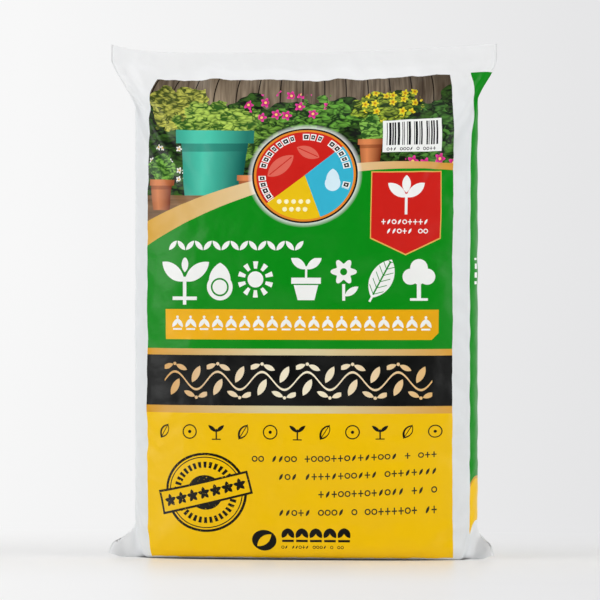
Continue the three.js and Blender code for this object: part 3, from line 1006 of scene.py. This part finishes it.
# %% Badge
def badge():
    """A black edge, an orange rim, three sectors with a ring of marks, and a motif in each."""
    far, turn = polar(BADGE, BADGE_HALF)
    halo = node("MapRange", {"Value": far, "From Min": 1.0, "From Max": 1.09, "To Min": 0.75,
                             "To Max": 0.0})
    ink(halo, PAPER_WHITE)
    ink(under(far, 1), linear("#1a1512"))
    ink(under(far, 0.965), linear("#e5892a"))
    inside = under(far, 0.92)
    ink(inside, RED)
    blue = union(between(turn, -0.1, BLUE_TO), between(turn, BLUE_FROM, 1.1))
    ink(overlap(inside, blue), linear("#38b6d4"))
    ink(overlap(inside, between(turn, YELLOW_FROM, BLUE_FROM)), linear("#eec414"))
    mark, beat = cells(turn, 1 / BADGE_MARKS)
    wide, there = node("SeparateColor", {0: random_of(mark, 6.0, out="Color")}, out=(0, 1))
    half_mark = node("MapRange", {"Value": wide, "To Min": 0.26 / BADGE_MARKS, "To Max": 0.4 / BADGE_MARKS})
    off_middle = node("Math", {0: beat}, operation="ABSOLUTE")
    beat = node("Math", {0: off_middle, 1: half_mark}, operation="DIVIDE")
    upper = overlap(union(between(turn, -0.1, YELLOW_FROM), between(turn, 0.945, 1.1)), over(there, 0.16))
    for width, inner, outer, colour in BADGE_MARK:
        ink(overlap(between(beat, -1, width), between(far, inner, outer), upper), colour)

    pale_red = linear("#e2695a")
    for x, y, length, turn in ((-20, 468, 17, 40), (8, 482, 13, -25)):
        ink(leaf((x, y), (length, 0.46 * length), turn), pale_red)
        ink(box((x, y), (0.85 * length, 0.5), turn), RED)
    ink(drop(34, 450, 8), linear("#d9f1fb"))
    for start, end, height, count in ((-24, 13, 431, 5), (-18, 10, 423, 4)):
        place, _, along = row_places(start, end, height, count)
        ink(overlap(disc((0, 0), 2.4, on=place), along), linear("#fff7c4"))


# %% Label
LABEL_MIDDLE = (114.5, 497.3)
LABEL_HALF = (30.5, 16.3)
BAR_WIDTH = 0.8


def label():
    """A white label with upright bars of random widths over a line of small marks."""
    x, y = LABEL_MIDDLE
    ink(box(LABEL_MIDDLE, LABEL_HALF), PAPER_WHITE)
    number, _ = cells(film_x, BAR_WIDTH)
    bars = under(random_of(number, 3.0), 0.5)
    ink(overlap(bars, box((x, y + 2.4), (LABEL_HALF[0] - 4, LABEL_HALF[1] - 4.6))), linear("#15161a"))
    ink(small_type([88], right=141, top=y - 10.7, line_pitch=5.0, letter=3.4, seed=8.0), linear("#2a2b2e"))


# %% Pennant
PENNANT_MIDDLE = 109.5


def flag(half_width, foot, tip, head):
    """1 inside a hanging flag: straight sides, and a foot that comes to a point."""
    across = off_line(PENNANT_MIDDLE)
    edge = node("MapRange", {"Value": across, "From Max": half_width, "To Min": tip, "To Max": foot})
    return overlap(under(across, half_width), over(film_y, edge), under(film_y, head))


def pennant():
    """A red pennant with a thin gold edge, a sprout and two lines of small type."""
    ink(flag(half_width=36.2, foot=393, tip=376, head=461.7), linear("#e9b35a"))
    ink(flag(half_width=35.2, foot=394, tip=377.4, head=460.6), RED)
    ink(union(sprout(PENNANT_MIDDLE, 434, 19), leaf((PENNANT_MIDDLE, 449), (9, 4.4), 90)), PAPER_WHITE)
    ink(small_type([84, 84], right=137, top=415, line_pitch=9.5, letter=5.4, seed=5.0), PAPER_WHITE)


# %% Row of leaves
def leaf_row():
    """Fifteen leaves in a row, leaning left and right in turn."""
    place, number, along = row_places(start=-136.9, end=5.7, height=385.8, count=15)
    _, lean = cells(number, 2.0, -0.5)
    left_lean = under(lean, 0)
    tilted = union(overlap(left_lean, leaf((0, 0), (6.4, 2.5), 48, on=place)),
                   overlap(cut(1.0, left_lean), leaf((0, 0), (6.4, 2.5), 132, on=place)))
    ink(overlap(along, tilted), PAPER_WHITE)


# %% The top sheet of the front
shader = film_material("printed_ldpe_film_picture")
fields()
green_field = paint
paint = bare_film
garden()
picture = paint
paint = green_field
ink(above(SWEEP_FOOT), gold_across("#d9a63a", "#ecd3a8", "#d69a3c"))
ink(above(SWEEP_HEAD), picture)
badge()
label()
pennant()
leaf_row()
finish_front(shader)

# %% [markdown]
# ## Pictograms in place of a headline
#
# The largest white marks on the green field are seven simple pictograms of growing: a sprout, a drop, the
# sun, a pot, a flower, a leaf and a tree. They have the size and weight of a headline, which is what
# carries across a shop.

# %% Sprout, drop and sun
HEADLINE_MIDDLE = 351.2
SPOTS = [-118.3, -80.9, -43.5, 8.4, 46.8, 85.3, 123.3]  # left to right, with the wide gap after the third


def young_sprout(x, y):
    """1 on a sprout with three leaves over a line of soil."""
    return union(sprout(x, y - 4, 26), leaf((x, y + 15), (8, 3.6), 90), box((x, y - 19.5), (13, 1.8)))


def ringed_drop(x, y):
    """1 on a drop with a ring cut out of it."""
    return cut(drop(x, y - 8, 13.5), ring((x, y - 8), 8.5, 1.8))


def sun(x, y):
    """1 on a disc and on ten rays round it."""
    far, turn = polar((x, y), (1, 1))
    rays = overlap(between(beats(turn, 10), 0.27, 0.73), between(far, 11, 18.5))
    return union(disc((x, y), 8.2), rays)


# %% Pot and flower
def potted(x, y):
    """1 on a tapered pot with a rim and two leaves."""
    across = off_line(x)
    half_width = node("MapRange", {"Value": film_y, "From Min": y - 21, "From Max": y - 5, "To Min": 8.5,
                                   "To Max": 12.5})
    body = overlap(under(across, half_width), between(film_y, y - 21, y - 5.6))
    return union(body, box((x, y - 1.2), (15, 3.1)), sprout(x, y + 9.5, 16))


def flower(x, y):
    """1 on a flower with six petals, a hole in its middle, a stem and a leaf."""
    far, turn = polar((x, y + 8), (1, 1))
    edge = petal_edge(turn, 6, radius=10.8, swing=2.6)
    petals = overlap(under(far, edge), over(far, 3.6))
    return union(petals, box((x, y - 13), (1.5, 8.5)), leaf((x + 8, y - 12), (8.5, 3.4), 35))


# %% Leaf and tree
def veined_leaf(x, y):
    """1 on a broad leaf with its midrib and side veins cut out."""
    along, across = local((x, y + 1), (1, 1), 62)
    off_rib = node("Math", {0: across}, operation="ABSOLUTE")
    slant = node("Math", {0: off_rib, 1: -0.9, 2: along}, operation="MULTIPLY_ADD")
    _, off_vein = cells(slant, 7.2)
    veins = overlap(between(off_vein, -0.5, 0.5), between(across, -8, 8))
    blade = cut(leaf((x, y + 1), (22, 11.5), 62), union(box((x, y + 1), (20, 0.8), 62), veins))
    return union(blade, box((x - 10.5, y - 19), (4, 1.1), 62))


def small_tree(x, y):
    """1 on a trunk and a crown of four discs."""
    crown = union(disc((x, y + 12), 9), disc((x - 8.5, y + 3), 8.2), disc((x + 8.5, y + 3), 8.2),
                  disc((x, y + 2), 7))
    return union(crown, box((x, y - 12), (2.1, 9)), box((x, y - 20.2), (9, 1.3)))


# %% Orange box
BOX_MIDDLE = (2, 305.2)
BOX_HALF = (141.5, 15.4)
BOX_CUT = 7  # off its lower right corner, along both sides


def orange_box():
    """An orange box with its lower right corner cut off and a row of paired leaves."""
    corner = BOX_MIDDLE[0] + BOX_HALF[0] - (BOX_MIDDLE[1] - BOX_HALF[1])
    across_corner = node("Math", {0: film_x, 1: film_y}, operation="SUBTRACT")
    inside = overlap(box(BOX_MIDDLE, BOX_HALF), under(across_corner, corner - BOX_CUT))
    to_right = node("MapRange", {"Value": film_x, "From Min": -140, "From Max": 140})
    ink(inside, node("Mix", {0: to_right, 6: linear("#f2b414"), 7: linear("#ebac0e")}, **COLOUR))
    place, _, along = row_places(start=-133.5, end=137.5, height=BOX_MIDDLE[1], count=19)
    pair = union(leaf((-2.4, 1.5), (5.6, 2.1), 55, on=place), leaf((2.6, 1.5), (5.6, 2.1), 125, on=place),
                 box((0, -4.9), (4.6, 0.9), on=place), disc((0, 7.4), 1.4, on=place))
    ink(overlap(along, pair), PAPER_WHITE)


# %% Vine
VINE_LEFT, VINE_RIGHT, VINE_MIDDLE = -141, 137, 247.8
VINE_WAVES = 6
VINE_SWING = 9.0
VINE_STEM = 2.3  # width
VINE_LEAVES = [
    # place in a wave, half sizes, turn
    ((-11.5, -6.5), (9.5, 3.7), 62), ((-19.5, 14.5), (6.5, 2.6), 20), ((-4.2, 13.5), (6.5, 2.6), 155),
    ((11.5, 6.5), (9.5, 3.7), 62), ((19.5, -14.5), (6.5, 2.6), 20), ((4.2, -13.5), (6.5, 2.6), 155),
]


def vine():
    """A sine wave for the stem, with three leaves and a berry in each half wave."""
    cream = gold_across("#d79a3e", "#f4ebcf", "#e3b060")
    wave_length = (VINE_RIGHT - VINE_LEFT) / VINE_WAVES
    from_left = node("Math", {0: film_x, 1: VINE_LEFT}, operation="SUBTRACT")
    phase = node("Math", {0: from_left, 1: 2 * math.pi / wave_length}, operation="MULTIPLY")
    wave = node("Math", {0: phase}, operation="SINE")
    stem = node("Math", {0: wave, 1: VINE_SWING, 2: VINE_MIDDLE}, operation="MULTIPLY_ADD")
    off_stem = node("Math", {0: film_y, 1: stem}, operation="SUBTRACT")
    place, _, along = row_places(VINE_LEFT, VINE_RIGHT, VINE_MIDDLE, VINE_WAVES)
    marks = union(between(off_stem, -VINE_STEM / 2, VINE_STEM / 2), disc((-11.5, 17.2), 1.7, on=place),
                  disc((11.5, -17.2), 1.7, on=place))
    for middle, half, turn in VINE_LEAVES:
        marks = union(marks, leaf(middle, half, turn, on=place))
    ink(overlap(along, marks), cream)


# %% The middle sheet of the front
PICTOGRAMS = (young_sprout, ringed_drop, sun, potted, flower, veined_leaf, small_tree)

shader = film_material("printed_ldpe_film_middle")
fields()
pennant()
for draw_pictogram, spot in zip(PICTOGRAMS, SPOTS):
    ink(draw_pictogram(spot, HEADLINE_MIDDLE), PAPER_WHITE)
orange_box()
vine()
finish_front(shader)

# %% [markdown]
# ## The yellow foot
#
# A row of thin marks crosses the top of the yellow field. The stamp imitates a rubber one, so its ink is
# missing in specks, and everything in it is made of rings, dashes and a tilted bar with stars. The small
# print is only the look of small print.

# %% Spaced marks
MARKS_MIDDLE = 195.4


def spaced_marks():
    """Eleven thin marks: an outlined leaf, a ring and a sprout in turn."""
    place, number, along = row_places(start=-155.2, end=154.2, height=MARKS_MIDDLE, count=11)
    kind = node("Math", {0: number, 1: 3.0}, operation="MODULO")
    thin_leaf = cut(leaf((0, 0), (8.6, 4.6), 58, on=place), leaf((0.6, 0.2), (6.6, 3.1), 58, on=place))
    thin_leaf = union(thin_leaf, box((0, 0), (9.0, 0.45), 58, on=place))
    thin_ring = union(ring((0, 0), 6.9, 1.3, on=place), disc((0, 0), 1.7, on=place))
    thin_sprout = union(box((0, -2.5), (0.75, 5.5), on=place), leaf((-4.2, 3.4), (5.4, 1.9), 140, on=place),
                        leaf((4.2, 3.4), (5.4, 1.9), 40, on=place), box((0, -7.6), (4.6, 0.6), on=place))
    ink(overlap(along, union(overlap(between(kind, -0.5, 0.5), thin_leaf),
                             overlap(between(kind, 0.5, 1.5), thin_ring),
                             overlap(between(kind, 1.5, 2.5), thin_sprout))), BLACK_INK)


# %% Sizes of the stamp
STAMP = (-96.3, 133.3)
STAMP_SCALE = (1.026, 0.955)  # wider than high, to look round on the bulging film
STAMP_BAR = (-97.6, 132.6)
BAR_HALF = (49.6, 12.1)
BAR_LINE = 2.3
STAMP_TILT = 13.8
STAMP_DASHES = 34
STAR_PITCH = 12.8
STAR_COUNT = 7
STAR_TIPS = 5
STAR_POINT, STAR_NOTCH = 6.6, 3.3  # radii
print(STAR_COUNT, "stars on a bar of", 2 * BAR_HALF[0], "mm")


# %% Stamp
def stamp():
    """Rings, a ring of dashes and a disc, all crossed by a tilted bar with stars, with worn ink."""
    far, turn = polar(STAMP, STAMP_SCALE)
    stamped = union(between(far, 39.8, 42.5), between(far, 37.2, 38.3))
    dashes = overlap(between(beats(turn, STAMP_DASHES), 0.2, 0.75), between(far, 26.5, 33.0))
    stamped = union(stamped, dashes)
    stamped = union(stamped, under(far, 18.6))
    bar = box(STAMP_BAR, BAR_HALF, STAMP_TILT)
    stamped = cut(stamped, bar)
    outline = cut(bar, box(STAMP_BAR, (BAR_HALF[0] - BAR_LINE, BAR_HALF[1] - BAR_LINE), STAMP_TILT))

    bar_x, bar_y = local(STAMP_BAR, (1, 1), STAMP_TILT)
    half_bar = STAR_COUNT / 2 * STAR_PITCH
    _, star_x = cells(bar_x, STAR_PITCH, -half_bar)
    far, turn = polar((0, 0), (1, 1), on=(star_x, bar_y))
    tips = node("Math", {0: turn, 1: STAR_TIPS, 2: -0.25}, operation="MULTIPLY_ADD")  # one points up
    beat = node("Math", {0: tips, 1: 0.5}, operation="PINGPONG")
    edge = node("MapRange", {"Value": beat, "From Min": 0, "From Max": 0.5, "To Min": STAR_POINT,
                             "To Max": STAR_NOTCH})
    stars = overlap(under(far, edge), between(bar_x, -half_bar, half_bar), between(bar_y, -9, 9))
    specks = node("MapRange", {"Value": noise(1.8, detail=3.0), "From Min": 0.25, "From Max": 0.31})
    worn = node("MapRange", {"Value": noise(16, detail=3.0, shift=5), "From Min": 0.14, "From Max": 0.27})
    ink(overlap(union(stamped, outline, stars), specks, worn), linear("#0e0e09"))


# %% Foot line
FOOT_DISC = (-35.5, 85)


def foot_line():
    """A black disc with a leaf left open in it, five bold marks, and a line of small type under them."""
    ink(disc(FOOT_DISC, (12.8, 10.6)), BLACK_INK)
    ink(leaf(FOOT_DISC, (9.6, 4.2), 38), YELLOW_INK)
    place, _, along = row_places(start=-18, end=54, height=90.5, count=5)
    bold_mark = union(leaf((-3.0, 2), (5.8, 2.9), 58, on=place), leaf((3.0, 2), (5.8, 2.9), 122, on=place),
                      box((0, -6), (6, 1.2), on=place))
    ink(overlap(along, bold_mark), BLACK_INK)
    ink(small_type([-18], right=50, top=80.5, line_pitch=5.0, letter=3.6, seed=3.0), BLACK_INK)


# %% The lowest sheet of the front
LINE_STARTS = [-48, -18, 19, -28]  # of the four lines of small print, from the top

shader = film_material("printed_ldpe_film_foot")
fields()
spaced_marks()
stamp()
ink(small_type(LINE_STARTS, right=144.6, top=177.4, line_pitch=18.35, letter=6.8, seed=2.0),
    linear("#2b2a1e"))
foot_line()
finish_front(shader)

# %% [markdown]
# ## The back and the bare film
#
# The back carries a second print of the same width, most of it green, with a pale panel for directions. It
# starts beyond a strip of bare film just round the right side, so its edge shows from the front. The film
# coordinates run on round the back, so the same shapes serve there once they are counted from the middle of
# that print.

# %% Sizes of the back print
BACK_LEFT = 180
BACK_WIDTH = 318
PANEL_MIDDLE, PANEL_HALF = 300, 128
BACK_YELLOW_HEAD, BACK_BLACK_FOOT = 118, 505
BACK_GOLD = 4  # height of the gold line over the yellow
print("bare film from", PRINT_RIGHT, "to", BACK_LEFT, "mm")

# %% The fields of the back
shader = film_material("printed_ldpe_film_back")
round_back = node("Math", {0: film_x, 1: 3 * half_flat, 2: -half_flat}, operation="WRAP")
film_x = node("Math", {0: round_back, 1: BACK_LEFT + BACK_WIDTH / 2}, operation="SUBTRACT")

ink(1.0, GREEN)
ink(under(film_y, BACK_YELLOW_HEAD), YELLOW_INK)
ink(overlap(over(film_y, BACK_BLACK_FOOT), between(film_x, -PANEL_HALF, PANEL_HALF)), BLACK_INK)
ink(between(film_y, BACK_YELLOW_HEAD, BACK_YELLOW_HEAD + BACK_GOLD), gold_across(*BAND_GOLD))
ink(box((0, PANEL_MIDDLE), (PANEL_HALF, PANEL_HALF)), linear("#f3f0dc"))
print(len(tree.nodes), "nodes so far")

# %% The marks of the back
ink(small_type([-108] * 9, right=108, top=404, line_pitch=13, letter=5.0, seed=4.0), linear("#35402f"))
place, _, along = row_places(start=-108, end=108, height=226, count=3)
ink(overlap(along, disc((0, 0), 27, on=place)), GREEN)
ink(overlap(along, sprout(0, -2, 26, on=place)), PAPER_WHITE)
place, _, along = row_places(start=-132, end=132, height=472, count=7)
ink(overlap(along, sprout(0, -2, 22, on=place)), PAPER_WHITE)
_, dash = cells(film_y, 9.0)
ink(overlap(between(film_x, -150, -143), between(film_y, 346, 373), between(dash, -2.7, 2.7)), PAPER_WHITE)

print_on_film(shader, overlap(between(film_y, PRINT_FOOT, PRINT_HEAD),
                              between(film_x, -BACK_WIDTH / 2, BACK_WIDTH / 2)))

# %% Each patch gets the sheet of print that it lies on
PICTURE_SHEET_FOOT = 375  # a height with green on both sides of it
MIDDLE_SHEET_FOOT = 210  # and one with yellow on both sides
SHEET_MARGIN = 8  # of bare film beside the print

patch_t = (row_t[:-1, None] + row_t[1:, None]) / 2 + 0 * column
patch_s = film_s[column] + FLAT_WIDTH / COLUMNS
sheet = np.where(patch_t > PICTURE_SHEET_FOOT, 0, np.where(patch_t > MIDDLE_SHEET_FOOT, 1, 2))
on_front_sheets = (patch_s > PRINT_LEFT - SHEET_MARGIN) & (patch_s < (PRINT_RIGHT + BACK_LEFT) / 2)
sheet = np.where(on_front_sheets, sheet, 3).ravel()  # the fourth is the back's
mesh.polygons.foreach_set("material_index", np.append(sheet, np.full(len(ends), 3)).astype(np.int32))
print("patches on each sheet:", np.bincount(sheet).tolist())

# %% [markdown]
# ## Camera, floor and light
#
# The camera stands a little to the right of the bag's middle and looks almost level, from far enough away
# that the bag's sides stay upright. The floor is a white satin sheet that sweeps up behind the bag.

# %% Camera
AZIMUTH = math.radians(8.5)
ELEVATION = math.radians(1.0)
DISTANCE = 8.0
VIEW_WIDTH = 0.6155  # metres across the picture, at the bag
SENSOR = 36

AIM = Vector((-0.0036, 0, 0.2645))
direction = Vector((math.sin(AZIMUTH) * math.cos(ELEVATION), -math.cos(AZIMUTH) * math.cos(ELEVATION),
                    math.sin(ELEVATION)))
camera_data = bpy.data.cameras.new("camera")
camera_data.sensor_width = SENSOR
camera_data.lens = SENSOR * DISTANCE / VIEW_WIDTH
camera = bpy.data.objects.new("camera", camera_data)
camera.location = AIM + DISTANCE * direction
camera.rotation_euler = direction.to_track_quat("Z", "Y").to_euler()
bpy.context.scene.collection.objects.link(camera)
bpy.context.scene.camera = camera
print("lens", round(camera_data.lens), "mm")

# %% Floor and backdrop
BEND_START = 0.9  # metres behind the bag
BEND_RADIUS = 1.2
STAGE_HALF = 12.0
STAGE_HEIGHT = 5.0

bend = np.linspace(0, np.pi / 2, 25)
wall = BEND_START + BEND_RADIUS
profile_y = np.concatenate([[-STAGE_HALF], BEND_START + BEND_RADIUS * np.sin(bend), [wall]])
profile_z = np.concatenate([[0], BEND_RADIUS * (1 - np.cos(bend)), [STAGE_HEIGHT]])
floor_points = [(x, y, z) for x in (-STAGE_HALF, STAGE_HALF) for y, z in zip(profile_y, profile_z)]
steps = len(profile_y)
floor_mesh = bpy.data.meshes.new("floor")
floor_mesh.from_pydata(floor_points, [], [(i, i + steps, i + steps + 1, i + 1) for i in range(steps - 1)])
floor_mesh.polygons.foreach_set("use_smooth", np.ones(steps - 1, bool))
floor = bpy.data.objects.new("floor", floor_mesh)
bpy.context.scene.collection.objects.link(floor)
print("floor of", steps - 1, "strips")

# %% [markdown]
# The sheet's plain tone is painted a little brighter on its left, as light would fall. Away from the bag it
# shades into that plain tone, so no horizon shows, and it can be seen only from its own side, so the bag
# can also be looked at from behind. Where the bag stands on it, it is painted dark as the bag's shadow,
# which draws the fine dark line under the film.

# %% The floor's own shading, with a shadow painted under the bag
PALE = linear("#f0f0f0")
# Painted shadow: the floor within these half sizes of the bag's middle is painted dark as the shade under
# the bag.
PAINTED_SHADOW_HALF = (0.175, 0.051)  # half sizes of the floor that the bag covers, in metres

floor_material = bpy.data.materials.new("satin_floor")
floor_material.use_nodes = True
floor.data.materials.append(floor_material)
tree = floor_material.node_tree
floor_shader = tree.nodes["Principled BSDF"]
floor_shader.inputs["Roughness"].default_value = 0.3

x, y, z = node("SeparateXYZ", {0: node("TexCoord", {}, out="Object")}, out=(0, 1, 2))
reached = []
for at, half in ((x, PAINTED_SHADOW_HALF[0]), (y, PAINTED_SHADOW_HALF[1])):
    part = node("Math", {0: node("Math", {0: at}, operation="ABSOLUTE"), 1: half}, operation="DIVIDE")
    reached.append(node("Math", {0: part, 1: SECTION_POWER}, operation="POWER"))
both = node("Math", {0: reached[0], 1: reached[1]}, operation="ADD")
outside_painted_shadow = node("MapRange", {"Value": both, "From Min": 0.88, "From Max": 1.0})
# The painted shadow: nearly black under the bag, fading to the pale floor just beyond it.
floor_with_painted_shadow = node("Mix", {0: outside_painted_shadow, 6: linear("#1c1a18"), 7: linear("#fbfaf9")}, **COLOUR)
tree.links.new(floor_with_painted_shadow, floor_shader.inputs["Base Color"])
print("dark floor within", PAINTED_SHADOW_HALF, "metres")

# %% The plain tone of the backdrop
# Painted light: the backdrop's glow is brighter at the left, and its strength is a little lower near the
# floor as painted shade.
along = node("Math", {0: y, 1: math.tan(AZIMUTH), 2: x}, operation="MULTIPLY_ADD")
across = node("MapRange", {"Value": along, "From Min": -0.36, "From Max": 0.36})
far = reach((x, y))
to_pale = node("MapRange", {"Value": far, "From Min": 2.4, "From Max": 4.0})
tone = node("Mix", {0: across, 6: linear("#f8f8f8"), 7: linear("#e6e6e7")}, **COLOUR)
tone = node("Mix", {0: to_pale, 6: tone, 7: PALE}, **COLOUR)
height = node("MapRange", {"Value": z, "From Min": 0.0, "From Max": 0.3, "To Min": 0.985, "To Max": 1.0})
backdrop = node("Emission", {"Color": tone, "Strength": height})
print(len(tree.nodes), "nodes so far")

# %% Where the plain tone is seen instead of the floor
is_camera, is_glossy, is_clear = node("LightPath", {},
                                      out=("Is Camera Ray", "Is Glossy Ray", "Is Transmission Ray"))
before = node("MapRange", {"Value": y, "From Min": -0.45, "From Max": -0.05, "To Min": 0.85, "To Max": 0.1})
behind = node("MapRange", {"Value": y, "From Min": -0.05, "From Max": 0.6, "To Min": 0.1, "To Max": 1.0},
              interpolation_type="SMOOTHSTEP")
away = node("MapRange", {"Value": far, "From Min": 0.9, "From Max": 2.2})
plain = overlap(union(is_camera, is_glossy, is_clear), union(before, behind, away), outside_painted_shadow)
surface = node("MixShader", {0: plain, 1: floor_shader.outputs[0], 2: backdrop})
from_behind = overlap(node("NewGeometry", {}, out="Backfacing"), is_camera)
surface = node("MixShader", {0: from_behind, 1: surface, 2: node("BsdfTransparent", {})})
tree.links.new(surface, tree.nodes["Material Output"].inputs["Surface"])
print(len(tree.nodes), "nodes in the floor's material")

# %% World
world = bpy.data.worlds.new("world")
bpy.context.scene.world = world
world.use_nodes = True
tree = world.node_tree
_, toward, _ = node("SeparateXYZ", {0: node("TexCoord", {}, out="Generated")}, out=(0, 1, 2))
room_light = node("MapRange", {"Value": toward, "From Min": -1.0, "From Max": 0.0, "To Min": 0.02,
                               "To Max": 0.5})
room = node("Background", {"Color": (1, 1, 1, 1), "Strength": room_light})
shown = node("MixShader", {0: node("LightPath", {}, out="Is Camera Ray"), 1: room,
                           2: node("Background", {"Color": PALE, "Strength": 1.0})})
tree.links.new(shown, tree.nodes["World Output"].inputs["Surface"])
print(len(tree.nodes), "nodes in the world")

# %% Lamps
LAMPS = [
    # name, place, size, watts
    ("key", (-2.85, -2.2, 1.2), 2.2, 66),
    ("top", (0.0, -0.7, 2.8), 2.4, 18),
    ("fill", (3.3, -1.5, 1.2), 2.4, 62),
]
for name, spot, size, watts in LAMPS:
    lamp_data = bpy.data.lights.new(name, "AREA")
    lamp_data.energy = watts
    lamp_data.size = size
    lamp = bpy.data.objects.new(name, lamp_data)
    lamp.location = spot
    lamp.rotation_euler = (Vector((0, 0, 0.25)) - lamp.location).to_track_quat("-Z", "Y").to_euler()
    bpy.context.scene.collection.objects.link(lamp)
print(len(LAMPS), "lamps of", sum(lamp[-1] for lamp in LAMPS), "W in all")
bpy.context.scene.view_settings.view_transform = "Standard"
